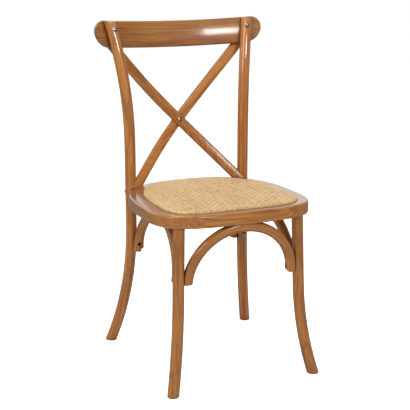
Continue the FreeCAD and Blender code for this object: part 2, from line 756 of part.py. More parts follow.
def slat_line(shift):
    """Points of the middle of a slat, moved back at the crossing by a distance."""
    back_face = crest_radius + size.crest_thickness / 2
    touching = back_face + size.slat_thickness / 2 - 0.2
    points = [
        Vector(-size.slat_foot_half_span, size.slat_foot_depth, size.seat_height),
        Vector(-size.slat_lower_half_span, size.slat_lower_depth + shift * 0.7, slat_lower_height),
        Vector(0, size.slat_cross_depth + shift, slat_cross_height),
        Vector(size.slat_upper_half_span, size.slat_upper_depth + shift * 0.6, slat_upper_height),
    ]
    meeting = size.chair_height - size.crest_height
    for x, height in ((size.slat_top_half_span, meeting), (size.slat_end_half_span, slat_end_height)):
        points.append(crest_point(x, crest_lift(x, height), touching))
    low = points[0] + (points[0] - points[1]).normalize() * size.leg_diameter
    return [low] + points


def slat_section(centre, along, facing):
    """Flat section with rounded long edges and a slightly swollen front."""
    front = (facing - along * facing.dot(along)).normalize()
    wide = along.cross(front)
    half = size.slat_width / 2
    thin = size.slat_thickness / 2
    rounding = size.slat_rounding
    swell = 1

    def place(x, y):
        return centre + wide * x + front * y

    cut = rounding * (1 - math.cos(math.pi / 4))
    edge = thin - swell
    side = half - rounding
    arcs = [
        Part.Arc(place(-side, edge), place(0, thin), place(side, edge)),
        Part.Arc(place(side, edge), place(half - cut, edge - cut), place(half, edge - rounding)),
        Part.LineSegment(place(half, edge - rounding), place(half, rounding - thin)),
        Part.Arc(place(half, rounding - thin), place(half - cut, cut - thin), place(side, -thin)),
        Part.LineSegment(place(side, -thin), place(-side, -thin)),
        Part.Arc(place(-side, -thin), place(cut - half, cut - thin), place(-half, rounding - thin)),
        Part.LineSegment(place(-half, rounding - thin), place(-half, edge - rounding)),
        Part.Arc(place(-half, edge - rounding), place(cut - half, edge - cut), place(-side, edge)),
    ]
    return Part.Wire([arc.toShape() for arc in arcs])


def slat_frame(curve, share):
    """Middle of a slat, its direction and the direction its front faces."""
    at = curve.FirstParameter + (curve.LastParameter - curve.FirstParameter) * share
    centre = curve.value(at)
    along = Vector(*curve.tangent(at)[0]).normalize()
    top = min(1, max(0, (centre.z - slat_cross_height) / (size.chair_height - size.crest_height
                                                              - slat_cross_height)))
    blend = top * top * (3 - 2 * top)
    facing = -crest_outward(centre.x) * blend + Vector(0, -1, 0) * (1 - blend)
    return centre, along, facing.normalize()


def slat_curve(shift):
    curve = Part.BSplineCurve()
    curve.interpolate(slat_line(shift))
    return curve


slat_stations = 9
centre_gap = size.slat_thickness / 2 - size.slat_lap


def slat_form(shift):
    """The slat as bent, before it is notched, coped and cut to length."""
    curve = slat_curve(shift)
    sections = []
    for station in range(slat_stations):
        centre, along, facing = slat_frame(curve, station / (slat_stations - 1))
        sections.append(slat_section(centre, along, facing))
    return Part.makeLoft(sections, True, False)


front_bar = slat_form(-centre_gap).mirror(Vector(0, 0, 0), Vector(1, 0, 0))
rear_bar = slat_form(centre_gap)
crossing = Vector(0, size.slat_cross_depth, slat_cross_height)
cross_curve = slat_curve(0)
at_cross = cross_curve.tangent(cross_curve.parameter(crossing))[0]
cross_back = Vector(0, at_cross[2], -at_cross[1]).normalize()


def behind(point, direction, reach=120):
    """Block on the far side of a plane."""
    block = Part.makeBox(2 * reach, 2 * reach, reach, Vector(-reach, -reach, 0))
    block.Placement = aim(point, direction)
    return block


above_seat = slab(size.seat_height, size.chair_height + 100)
shared = front_bar.common(rear_bar)
front_slat_form = feature("front_slat_form", front_bar.cut(shared.common(behind(crossing, cross_back)))
                          .common(above_seat))
rear_slat_form = feature("rear_slat_form", rear_bar.cut(shared.common(behind(crossing, -cross_back)))
                         .common(above_seat))


# Seat panel: plywood board, thin padding and a woven mat that is turned down round both

board_form = new_body("seat_board_form")
board_edge = size.panel_gap + size.mat_thickness + size.soft_gap
board_sketch = new_sketch(board_form, "outline", lift="sizes.seat_height - sizes.recess_depth")
for curve in outline_curves(panel_outline(board_edge)):
    board_sketch.addGeometry(curve, False)
board_form.Tip = pad(board_form, board_sketch, "sizes.board_thickness")


def crowned(edge, foot, top, crown):
    """Pad with upright sides, a rolled rim and a gently crowned middle."""
    roll = 5
    sides = Part.Face(outline_wire(panel_outline(edge), foot)).extrude(Vector(0, 0, top - roll - foot))
    rim_steps = [(0, 0), (0.7, 2.6), (2.4, 4.3), (5, 5)]
    crown_steps = [(36, 0.45), (75, 0.82), (118, 1)]
    sections = [outline_wire(panel_outline(edge + run), top - roll + rise) for run, rise in rim_steps]
    sections += [outline_wire(panel_outline(edge + run), top + crown * share) for run, share in crown_steps]
    return sides.fuse(Part.makeLoft(sections, True, True)).removeSplitter()


rim_top = size.seat_height + size.mat_rim_rise
board_top = ledge_height + size.board_thickness
outer = crowned(size.panel_gap, ledge_height + size.soft_gap, rim_top, size.mat_crown)
inner_edge = size.panel_gap + size.mat_thickness
inner = crowned(inner_edge, ledge_height - 1, rim_top - size.mat_thickness, size.mat_crown)
mat_form = outer.cut(inner)
padding_form = crowned(inner_edge + size.soft_gap, board_top + size.soft_gap,
                       rim_top - size.mat_thickness - size.soft_gap, size.mat_crown)
doc.recompute()


# Hardware. Each turned piece has the top of its head at the origin and points along Z.

def turned(name, points, domed=True):
    """Body of revolution from (radius, height) pairs, each tied to the sheet or on an axis."""
    body = new_body(name)
    sketch = new_sketch(body, "outline", "XZ_Plane")
    here = [Vector(cell_value(radius), cell_value(height), 0) for radius, height in points]
    for index, start in enumerate(here):
        end = here[(index + 1) % len(here)]
        if index == 0 and domed:
            swell = (end.x ** 2 + end.y ** 2) / (2 * end.y)
            turn = math.asin(end.x / swell) / 2
            middle = Vector(swell * math.sin(turn), swell * (1 - math.cos(turn)), 0)
            sketch.addGeometry(Part.Arc(start, middle, end), False)
            sketch.addConstraint(Sketcher.Constraint("PointOnObject", 0, 3, -2))
        else:
            sketch.addGeometry(Part.LineSegment(start, end), False)

    def end_at(index, place):
        """Which end of a curve lies at a place."""
        return 1 if sketch.Geometry[index].StartPoint.distanceToPoint(place) < 0.001 else 2

    for index, place in enumerate(here):
        before = (index - 1) % len(here)
        sketch.addConstraint(Sketcher.Constraint("Coincident", before, end_at(before, place),
                                                 index, end_at(index, place)))
    for index, (radius, height) in enumerate(points):
        end = end_at(index, here[index])
        for kind, cell, axis, value in (("DistanceX", radius, -2, here[index].x),
                                        ("DistanceY", height, -1, here[index].y)):
            if cell == "0":
                sketch.addConstraint(Sketcher.Constraint("PointOnObject", index, end, axis))
            else:
                number = sketch.addConstraint(Sketcher.Constraint(kind, -1, 1, index, end, value))
                sketch.setExpression("Constraints[%d]" % number, cell)
    turn = body.newObject("PartDesign::Revolution", name + "_turned")
    turn.Profile = sketch
    turn.ReferenceAxis = (sketch, ["V_Axis"])
    turn.Angle = 360
    body.Tip = turn
    return body


def cell_value(expression):
    """Value of an expression of the sheet's cells."""
    if expression == "0":
        return 0.0
    sheet.set("D1", "=" + expression.replace("sizes.", ""))
    sheet.recompute()
    return float(sheet.get("D1"))


def headed(name, head_radius, head_height, shank_radius, length):
    return turned(name, [
        ("0", "0"),
        (head_radius, head_height),
        (shank_radius, head_height),
        (shank_radius, head_height + " + " + length),
        ("0", head_height + " + " + length),
    ])


head = ("sizes.bolt_head_diameter / 2", "sizes.bolt_head_height")
bolt_shank = "sizes.bolt_diameter / 2"
crest_bolt = headed("crest_bolt_form", *head, bolt_shank, "sizes.crest_bolt_length")
cross_bolt = headed("cross_bolt_form", *head, bolt_shank, "sizes.cross_bolt_length")
seat_bolt = headed("seat_bolt_form", *head, bolt_shank, "sizes.seat_bolt_length")
screw = ("sizes.screw_head_diameter / 2", "sizes.screw_head_height", "sizes.screw_diameter / 2")
arch_screw = headed("arch_screw_form", *screw, "sizes.arch_screw_length")
slat_screw = headed("slat_screw_form", *screw, "sizes.slat_screw_length")
board_screw = headed("board_screw_form", *screw, "sizes.board_screw_length")
bore = "sizes.bolt_diameter / 2 + sizes.hole_clearance"
sleeve_end = head[1] + " + sizes.sleeve_length"
cap_nut = turned("cap_nut_form", [
    ("0", "0"),
    head,
    ("sizes.sleeve_diameter / 2", head[1]),
    ("sizes.sleeve_diameter / 2", sleeve_end),
    (bore, sleeve_end),
    (bore, head[1]),
    ("0", head[1]),
])
dowel = doc.addObject("Part::Cylinder", "dowel_form")
bind(dowel, Radius="sizes.dowel_diameter / 2", Height="sizes.dowel_length")
foot_dowel = doc.addObject("Part::Cylinder", "foot_dowel_form")
bind(foot_dowel, Radius="sizes.foot_dowel_diameter / 2", Height="sizes.foot_dowel_length")
barrel = doc.addObject("Part::Cylinder", "barrel_form")
bind(barrel, Radius="sizes.barrel_diameter / 2", Height="sizes.barrel_length")
barrel_bore = doc.addObject("Part::Cylinder", "barrel_bore")
bind(barrel_bore, Radius=bore, Height="2 * sizes.barrel_diameter")
barrel_bore.Placement = Placement(Vector(-size.barrel_diameter, 0, size.barrel_length / 2),
                                  Rotation(UP, east))
barrel_nut = doc.addObject("Part::Cut", "barrel_nut_form")
barrel_nut.Base = barrel
barrel_nut.Tool = barrel_bore
doc.recompute()

clear = size.hole_clearance
head_radius = size.bolt_head_diameter / 2 + clear
shank_radius = size.bolt_diameter / 2 + clear
sleeve_radius = size.sleeve_diameter / 2 + clear
screw_radius = size.screw_diameter / 2 + clear
screw_head_radius = size.screw_head_diameter / 2 + clear
sunk_radius = size.counterbore_diameter / 2
proud = size.bolt_head_height - size.bolt_sink


def hole(placement, steps):
    """Stepped hole from (radius, start, end) runs along a placement's Z."""
    return fused([cylinder(placement, radius, start, end) for radius, start, end in steps])


def bolt_hole(placement, length):
    low = size.bolt_head_height
    return hole(placement, [(head_radius, -size.bolt_sink, low), (shank_radius, low - 1, low + length + clear)])


def nut_hole(placement):
    low = size.bolt_head_height
    return hole(placement, [(head_radius, -size.bolt_sink, low),
                            (sleeve_radius, low - 1, low + size.sleeve_length + clear)])


def screw_hole(placement, length, sunk, radius):
    """Hole of a screw whose head bears at the bottom of a wider hole of some depth."""
    low = size.screw_head_height
    return hole(placement, [(radius, low - sunk, low), (screw_radius, low - 1, low + length + clear)])


# Bolts through the posts and the crest rail

crest_bolts = {}
crest_nuts = {}
for side in (LEFT, RIGHT):
    point = post_centre(size.chair_height - size.crest_bolt_drop, side)
    from_axis = point - crest_centre
    from_axis = from_axis - crest_up * from_axis.dot(crest_up)
    outward = Vector(from_axis).normalize()
    to_back = crest_radius + size.crest_thickness / 2 - from_axis.Length
    crest_bolts[side] = aim(point - outward * (leg_radius + proud), outward)
    crest_nuts[side] = aim(point + outward * (to_back + proud), -outward)

# Bolt through the crossing of the slats

cross_front = crossing - cross_back * (centre_gap + size.slat_thickness / 2 + proud)
cross_rear = crossing + cross_back * (centre_gap + size.slat_thickness / 2 + proud)
cross_bolt_place = aim(cross_front, cross_back)
cross_nut_place = aim(cross_rear, -cross_back)

# Bolts from the posts into the rear corners of the ring

seat_bolts = {}
barrel_nuts = {}
turn = math.radians(size.seat_bolt_angle)
for side in (LEFT, RIGHT):
    inward = Vector(-side * math.cos(turn), -math.sin(turn), 0)
    point = post_centre(size.seat_height - size.seat_bolt_drop, side)
    seat_bolts[side] = aim(point - inward * (leg_radius + proud), inward)
    tip = point + inward * (size.seat_bolt_length + size.bolt_sink - leg_radius)
    nut_point = tip - inward * (size.barrel_diameter / 2 + 1)
    low = nut_point - UP * (size.barrel_length / 2)
    barrel_nuts[side] = turned_frame(low, inward, UP)

# Screws of the arches

arches = {
    "front_arch": front_arch,
    "back_arch": back_arch,
    "side_arch_left": side_arches[LEFT],
    "side_arch_right": side_arches[RIGHT],
}


def end_screws(arch, rise):
    """Level screws from the inside of an arch's ends into the legs."""
    places = []
    middle = arch["start"] + UP * rise + arch["across"] * (math.tan(arch["lean"]) * rise)
    depth = size.arch_width / 2 - size.arch_counterbore + size.screw_head_height
    for along, shift in ((-arch["along"], 0), (arch["along"], arch["span"])):
        point = middle + arch["along"] * shift - along * depth
        places.append(aim(point, along))
    return places


def top_screws(arch):
    """Upright screws from the underside of an arch's top into the ring."""
    half = arch["span"] / 2
    rise = arch["rise"]
    top = arch_radii(arch["span"], rise)[1]
    offset = size.arch_top_screw_offset
    local = size.arch_spring + rise - top + math.sqrt(top ** 2 - offset ** 2)
    depth = size.arch_width / 2 - size.arch_counterbore + size.screw_head_height
    places = []
    for shift in (half - offset, half + offset):
        point = arch["body"].Placement.multVec(Vector(shift, 0, local))
        places.append(aim(point - UP * depth, UP))
    return places


end_screw_places = {}
top_screw_places = {}
for name, arch in arches.items():
    rise = size.arch_screw_rise
    if name in ("front_arch", "back_arch"):
        rise = rise - size.arch_screw_stagger
    end_screw_places[name] = end_screws(arch, rise)
    top_screw_places[name] = top_screws(arch)

# Screws of the slats, square to the back of the crest rail

def slat_screw_places(side):
    places = []
    fixed = size.chair_height - size.crest_height
    for share in (0.25, 0.75):
        height = fixed + (slat_end_height - fixed) * share
        low, high = cross_curve.FirstParameter, cross_curve.LastParameter
        for _ in range(40):
            middle = (low + high) / 2
            if cross_curve.value(middle).z < height:
                low = middle
            else:
                high = middle
        point = cross_curve.value(low)
        outward = crest_outward(point.x)
        surface = point + outward * (size.slat_thickness / 2 + size.screw_head_height)
        places.append(aim(on_side(surface, side), on_side(-outward, side)))
    return places


slat_screws = {side: slat_screw_places(side) for side in (LEFT, RIGHT)}

# Dowels under the feet of the slats, along the slats

def slat_foot_dowel(form, side):
    """Dowel at the middle of what the post leaves of a slat's foot."""
    coped = form.Shape.cut(post_forms[side].Shape)
    foot = [face for face in coped.Faces if face.BoundBox.ZMax < size.seat_height + 0.01]
    middle = max(foot, key=lambda face: face.Area).CenterOfMass
    along = Vector(*cross_curve.tangent(cross_curve.parameter(slat_line(0)[1]))[0])
    along = on_side(along.normalize(), -side)
    return aim(middle - along * (size.foot_dowel_length / 2), along)


foot_dowels = {
    RIGHT: slat_foot_dowel(front_slat_form, RIGHT),
    LEFT: slat_foot_dowel(rear_slat_form, LEFT),
}

# Joints of the seat ring, upright planes that meet in the middle of the seat

joint_centre = Vector(0, size.seat_widest, 0)
joint_angles = [-size.joint_front_angle, size.joint_rear_angle, 180 - size.joint_rear_angle,
                180 + size.joint_front_angle]
dowel_height = seat_underside + (size.seat_thickness - size.recess_depth) / 2


def ray(angle, reach):
    return Rotation(UP, angle).multVec(Vector(reach, 0, 0))


def ring_dowels(angle):
    """Two dowels square to a joint, side by side in the wood between rim and opening."""
    line = Part.makeLine(joint_centre + UP * dowel_height, joint_centre + ray(angle, 600) + UP * dowel_height)
    middle = ring.Shape.common(line).Edges[0].CenterOfMass
    across = ray(angle + 90, 1)
    places = []
    for shift in (-0.5, 0.5):
        point = middle + ray(angle, shift * size.dowel_spacing) - across * (size.dowel_length / 2)
        places.append(aim(point, across))
    return places


ring_dowel_places = [place for angle in joint_angles for place in ring_dowels(angle)]


def rail_wedge(name, start, end):
    """Part of the seat between two joints."""
    corners = [joint_centre, joint_centre + ray(start, 700), joint_centre + ray(end, 700), joint_centre]
    return feature(name, Part.Face(Part.makePolygon(corners)).extrude(UP * 600))


# Screws of the seat board, from the underside of the ring's ledge

def board_screw_places():
    reach = size.panel_half_width - size.board_screw_inset
    places = []
    for depth, power in ((-size.panel_front_depth, size.panel_front_power),
                         (size.panel_rear_depth, size.panel_rear_power)):
        depth = depth - math.copysign(size.board_screw_inset, depth)
        y = size.panel_widest + depth * (1 - (size.board_screw_offset / reach) ** power) ** (1 / power)
        for side in (LEFT, RIGHT):
            low = seat_underside + size.board_counterbore - size.screw_head_height
            places.append(aim(Vector(side * size.board_screw_offset, y, low), UP))
    return places


board_screws = board_screw_places()


# Finished pieces

finished = []


def piece(name, form, cutters):
    """A form with every hole, notch and cope cut into it."""
    if not cutters:
        form.Label = name
        finished.append((name, form))
        return form
    tool = feature(name + "_cutters", fused(cutters))
    cut = doc.addObject("Part::Cut", name)
    cut.Base = form
    cut.Tool = tool
    finished.append((name, cut))
    return cut


def group(name, form, places):
    """Copies of one turned piece, all in one node."""
    copies = []
    for place in places:
        copy = form.Shape.copy()
        copy.Placement = place
        copies.append(copy)
    thing = feature(name, Part.makeCompound(copies) if len(copies) > 1 else copies[0])
    finished.append((name, thing))
    return thing


crest_bolt_holes = {side: bolt_hole(crest_bolts[side], size.crest_bolt_length) for side in crest_bolts}
crest_nut_holes = {side: nut_hole(crest_nuts[side]) for side in crest_nuts}
seat_bolt_holes = {side: bolt_hole(seat_bolts[side], size.seat_bolt_length) for side in seat_bolts}
end_holes = {name: [screw_hole(place, size.arch_screw_length, size.arch_counterbore + 4, sunk_radius)
                    for place in places] for name, places in end_screw_places.items()}
top_holes = {name: [screw_hole(place, size.arch_screw_length, size.arch_counterbore + 4, sunk_radius)
                    for place in places] for name, places in top_screw_places.items()}
all_end_holes = [cut for cuts in end_holes.values() for cut in cuts]
all_top_holes = [cut for cuts in top_holes.values() for cut in cuts]
slat_holes = {side: [screw_hole(place, size.slat_screw_length, 2 * size.screw_head_height, screw_head_radius)
                     for place in slat_screws[side]] for side in slat_screws}
cross_holes = [bolt_hole(cross_bolt_place, size.cross_bolt_length), nut_hole(cross_nut_place)]
board_holes = [screw_hole(place, size.board_screw_length, size.board_counterbore + 1, sunk_radius)
               for place in board_screws]


def near(cutters, form):
    """The cutters that reach a form."""
    box = form.Shape.BoundBox
    return [cut for cut in cutters if cut.BoundBox.intersect(box)]


for side in (LEFT, RIGHT):
    bolts = [crest.Shape, crest_bolt_holes[side], seat_bolt_holes[side]]
    piece("rear_leg_" + side_name(side), post_forms[side], bolts + near(all_end_holes, post_forms[side]))
for side in (LEFT, RIGHT):
    piece("front_leg_" + side_name(side), leg_forms[side], near(all_end_holes, leg_forms[side]))

rail_span = {
    "seat_front_rail": (joint_angles[3] - 360, joint_angles[0]),
    "seat_side_rail_right": (joint_angles[0], joint_angles[1]),
    "seat_back_rail": (joint_angles[1], joint_angles[2]),
    "seat_side_rail_left": (joint_angles[2], joint_angles[3]),
}
dowel_holes = [cylinder(place, size.dowel_diameter / 2 + clear, -clear, size.dowel_length + clear)
               for place in ring_dowel_places]
foot_dowel_holes = {side: cylinder(foot_dowels[side], size.foot_dowel_diameter / 2 + clear, -clear,
                                   size.foot_dowel_length + clear) for side in foot_dowels}
barrel_holes = [cylinder(barrel_nuts[side], size.barrel_diameter / 2 + clear, -size.seat_thickness,
                         size.barrel_length) for side in barrel_nuts]
ring_cutters = dowel_holes + barrel_holes + all_top_holes + board_holes
ring_cutters += list(seat_bolt_holes.values()) + list(foot_dowel_holes.values())
ring_cutters += [form.Shape for form in list(leg_forms.values()) + list(post_forms.values())]
for name, (start, end) in rail_span.items():
    rail = doc.addObject("Part::Common", name + "_form")
    rail.Base = ring
    rail.Tool = rail_wedge(name + "_wedge", start, end)
    doc.recompute()
    piece(name, rail, near(ring_cutters, rail))
group("seat_ring_dowels", dowel, ring_dowel_places)

above_ring = slab(seat_underside, size.seat_height)
all_legs = [form.Shape for form in list(leg_forms.values()) + list(post_forms.values())]
for name, arch in arches.items():
    cutters = near(all_legs, arch["body"]) + [above_ring] + end_holes[name] + top_holes[name]
    piece(name, arch["body"], cutters)
group("arch_end_screws", arch_screw, [place for places in end_screw_places.values() for place in places])
group("arch_top_screws", arch_screw, [place for places in top_screw_places.values() for place in places])

crest_cutters = list(crest_bolt_holes.values()) + list(crest_nut_holes.values())
piece("crest_rail", crest, crest_cutters + slat_holes[LEFT] + slat_holes[RIGHT])
for name, form, foot_side in (("cross_slat_front", front_slat_form, RIGHT),
                              ("cross_slat_rear", rear_slat_form, LEFT)):
    cutters = [post_forms[foot_side].Shape, crest.Shape, foot_dowel_holes[foot_side]]
    piece(name, form, cutters + cross_holes + slat_holes[-foot_side])
group("slat_top_screws", slat_screw, slat_screws[LEFT] + slat_screws[RIGHT])
group("slat_foot_dowels", foot_dowel, list(foot_dowels.values()))
group("crest_bolts", crest_bolt, list(crest_bolts.values()))
group("crest_nuts", cap_nut, list(crest_nuts.values()))
group("cross_bolt", cross_bolt, [cross_bolt_place])
group("cross_nut", cap_nut, [cross_nut_place])
group("seat_bolts", seat_bolt, list(seat_bolts.values()))
group("seat_barrel_nuts", barrel_nut, list(barrel_nuts.values()))

piece("seat_board", board_form, board_holes)
piece("seat_padding", feature("seat_padding", padding_form), [])
piece("rattan_mat", feature("rattan_mat", mat_form), [])
group("seat_board_screws", board_screw, board_screws)

doc.recompute()
for thing in doc.Objects:
    if "Invalid" in thing.State or "Error" in thing.State:
        raise RuntimeError("%s could not be built" % thing.Name)
os.makedirs("parts", exist_ok=True)
for name, thing in finished:
    thing.Label = name
    shape = thing.Shape
    if shape.isNull() or not shape.isValid():
        raise RuntimeError("%s has no valid shape" % name)
    shape.exportStep("parts/%s.step" % name)
    print(name, len(shape.Solids), round(shape.Volume))
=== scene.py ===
import math

import bpy
import numpy as np
from mathutils import Euler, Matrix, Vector


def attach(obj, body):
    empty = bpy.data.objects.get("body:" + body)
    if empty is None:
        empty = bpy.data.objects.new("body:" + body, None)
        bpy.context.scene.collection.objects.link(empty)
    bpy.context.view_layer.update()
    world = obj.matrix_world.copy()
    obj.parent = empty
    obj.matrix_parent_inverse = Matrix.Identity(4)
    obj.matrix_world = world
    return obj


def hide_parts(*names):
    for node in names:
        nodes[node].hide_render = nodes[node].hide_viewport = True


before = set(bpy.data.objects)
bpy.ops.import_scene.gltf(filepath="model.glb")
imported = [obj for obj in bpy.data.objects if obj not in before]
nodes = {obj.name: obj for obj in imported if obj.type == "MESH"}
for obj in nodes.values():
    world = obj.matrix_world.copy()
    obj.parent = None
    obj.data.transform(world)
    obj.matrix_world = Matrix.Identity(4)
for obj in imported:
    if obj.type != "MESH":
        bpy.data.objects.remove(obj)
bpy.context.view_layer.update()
print("frame loaded, nodes:", len(nodes))


# camera, fitted to the photograph

cameraValues = {
    "location": (-1.0893, -2.4920, 1.0812),
    "angles": (76.224, 0.0, -23.443),
    "lens": 93.39,
    "sensor": 36.0,
    "farthest": 50.0,
}


def addCamera():
    data = bpy.data.cameras.new("chairCamera")
    data.lens = cameraValues["lens"]
    data.sensor_width = cameraValues["sensor"]
    data.clip_end = cameraValues["farthest"]
    camera = bpy.data.objects.new("chairCamera", data)
    camera.location = cameraValues["location"]
    camera.rotation_euler = Euler([math.radians(angle) for angle in cameraValues["angles"]])
    bpy.context.collection.objects.link(camera)
    bpy.context.scene.camera = camera


addCamera()
bpy.context.scene.view_settings.view_transform = "Standard"
print("camera set")


# node helpers

def newMaterial(name):
    material = bpy.data.materials.new(name)
    material.use_nodes = True
    tree = material.node_tree
    return material, tree, tree.nodes["Principled BSDF"]


def feed(tree, socket, value):
    # a number, a colour or another node's output goes into a socket
    if isinstance(value, (int, float)):
        socket.default_value = value
    elif isinstance(value, tuple):
        socket.default_value = (*value, 1.0)
    else:
        tree.links.new(value, socket)


def mathNode(tree, operation, *values):
    node = tree.nodes.new("ShaderNodeMath")
    node.operation = operation
    for slot, value in enumerate(values):
        feed(tree, node.inputs[slot], value)
    return node.outputs[0]


def times(tree, first, second):
    return mathNode(tree, "MULTIPLY", first, second)


def plus(tree, first, second):
    return mathNode(tree, "ADD", first, second)


def minus(tree, first, second):
    return mathNode(tree, "SUBTRACT", first, second)


def scaled(tree, value, factor, offset):
    return mathNode(tree, "MULTIPLY_ADD", value, factor, offset)


def lengthNode(tree, first, second):
    return mathNode(tree, "SQRT", plus(tree, times(tree, first, first), times(tree, second, second)))


def select(tree, test, yes, no):
    return plus(tree, times(tree, test, yes), times(tree, minus(tree, 1.0, test), no))


def vectorNode(tree, x, y, z):
    node = tree.nodes.new("ShaderNodeCombineXYZ")
    for slot, value in enumerate((x, y, z)):
        feed(tree, node.inputs[slot], value)
    return node.outputs[0]


def splitNode(tree, vector):
    node = tree.nodes.new("ShaderNodeSeparateXYZ")
    tree.links.new(vector, node.inputs[0])
    return node.outputs[0], node.outputs[1], node.outputs[2]


def placeNodes(tree):
    # object coordinates split into x, y and z
    return splitNode(tree, tree.nodes.new("ShaderNodeTexCoord").outputs["Object"])


def noiseNode(tree, vector, scale, detail, roughness, distortion=0.0):
    node = tree.nodes.new("ShaderNodeTexNoise")
    node.inputs["Scale"].default_value = scale
    node.inputs["Detail"].default_value = detail
    node.inputs["Roughness"].default_value = roughness
    node.inputs["Distortion"].default_value = distortion
    tree.links.new(vector, node.inputs["Vector"])
    return node.outputs["Fac"]


def rampNode(tree, value, stops, smooth=False):
    node = tree.nodes.new("ShaderNodeValToRGB")
    node.color_ramp.interpolation = "EASE" if smooth else "LINEAR"
    elements = node.color_ramp.elements
    while len(elements) < len(stops):
        elements.new(0.5)
    for element, (place, colour) in zip(elements, stops):
        element.position = place
        element.color = (*colour, 1.0)
    tree.links.new(value, node.inputs[0])
    return node.outputs[0]


def grey(level):
    return (level, level, level)


def maskNode(tree, value, span, smooth=False, full=1.0):
    # none below the span, full above it
    low, high = span
    return rampNode(tree, value, [(low, grey(0.0)), (high, grey(full))], smooth)


def fadeNode(tree, value, span):
    # full below the span, none above it
    low, high = span
    return rampNode(tree, value, [(low, grey(1.0)), (high, grey(0.0))])


def mixNode(tree, share, first, second):
    node = tree.nodes.new("ShaderNodeMix")
    node.data_type = "RGBA"
    node.clamp_factor = True
    for slot, value in ((0, share), (6, first), (7, second)):
        feed(tree, node.inputs[slot], value)
    return node.outputs[2]


def stainNode(tree, colour, mask, strength, stain):
    return mixNode(tree, times(tree, mask, strength), colour, stain)


def bumpNode(tree, height, strength, distance):
    node = tree.nodes.new("ShaderNodeBump")
    node.inputs["Strength"].default_value = strength
    node.inputs["Distance"].default_value = distance
    tree.links.new(height, node.inputs["Height"])
    return node.outputs[0]


def cornerNode(tree, distance, samples=6):
    # low in corners and hollows, high on open faces
    node = tree.nodes.new("ShaderNodeAmbientOcclusion")
    node.samples = samples
    node.inputs["Distance"].default_value = distance
    return node.outputs["AO"]


# how the grain runs: each function gives metres along the grain, across it and through it

legShape = {"start": 0.235, "radius": 0.78, "turn": -50.0, "halfSpan": 0.1615, "depth": -0.1935}
postShape = {"start": 0.345, "radius": 0.79, "turn": 57.0, "halfSpan": 0.1655, "depth": 0.1393,
             "topStart": 0.560, "topRadius": 0.90}
# the crest's lean as sine and cosine, its bend and how far the bend's middle is in front
crestShape = {"sine": 0.2419, "cosine": 0.9703, "radius": 0.746, "setBack": 0.0168}
# a slat's direction across and up, the height of its crossing and how much it bows
slatShape = {"across": 0.671, "up": 0.741, "crossing": 0.6, "bow": 0.3}
archShape = {"shoulder": 0.123, "spring": 0.003, "rise": 0.137, "foot": 0.274}
# middle of each arch along its run and across it, half its span and its lean in degrees
archPlaces = {
    "front": {"alongX": True, "middle": 0.0, "aside": -0.1977, "half": 0.1408, "lean": -10.5},
    "back": {"alongX": True, "middle": 0.0, "aside": 0.142, "half": 0.143, "lean": 8.3},
    "left": {"alongX": False, "middle": -0.0278, "aside": -0.160, "half": 0.1456, "lean": 6.0},
    "right": {"alongX": False, "middle": -0.0278, "aside": 0.160, "half": 0.1456, "lean": -6.0},
}


def sweepNode(tree, run, radius):
    # how far a bend has moved a leg sideways
    past = mathNode(tree, "MAXIMUM", run, 0.0)
    return times(tree, mathNode(tree, "POWER", past, 2.0), 0.5 / radius)


def legGrain(side, shape):
    def grain(tree):
        x, y, z = placeNodes(tree)
        offset = sweepNode(tree, minus(tree, shape["start"], z), shape["radius"])
        if "topStart" in shape:
            above = sweepNode(tree, minus(tree, z, shape["topStart"]), shape["topRadius"])
            offset = plus(tree, offset, above)
        turn = math.radians(shape["turn"])
        middleX = scaled(tree, offset, side * math.cos(turn), side * shape["halfSpan"])
        middleY = scaled(tree, offset, math.sin(turn), shape["depth"])
        return z, minus(tree, x, middleX), minus(tree, y, middleY)
    return grain


def alongX(tree):
    return placeNodes(tree)


def alongY(tree):
    x, y, z = placeNodes(tree)
    return y, x, z


def crestGrain(tree):
    x, y, z = placeNodes(tree)
    sine, cosine = crestShape["sine"], crestShape["cosine"]
    lift = scaled(tree, y, sine, times(tree, z, cosine))
    back = scaled(tree, y, cosine, times(tree, z, -sine))
    back = plus(tree, back, crestShape["radius"] - crestShape["setBack"])
    return x, lift, lengthNode(tree, x, back)


def slatGrain(side):
    def grain(tree):
        x, y, z = placeNodes(tree)
        across, up = slatShape["across"], slatShape["up"]
        along = scaled(tree, x, side * across, times(tree, z, up))
        aside = scaled(tree, x, side * up, times(tree, z, -across))
        reach = mathNode(tree, "POWER", minus(tree, z, slatShape["crossing"]), 2.0)
        return along, aside, minus(tree, y, times(tree, reach, slatShape["bow"]))
    return grain


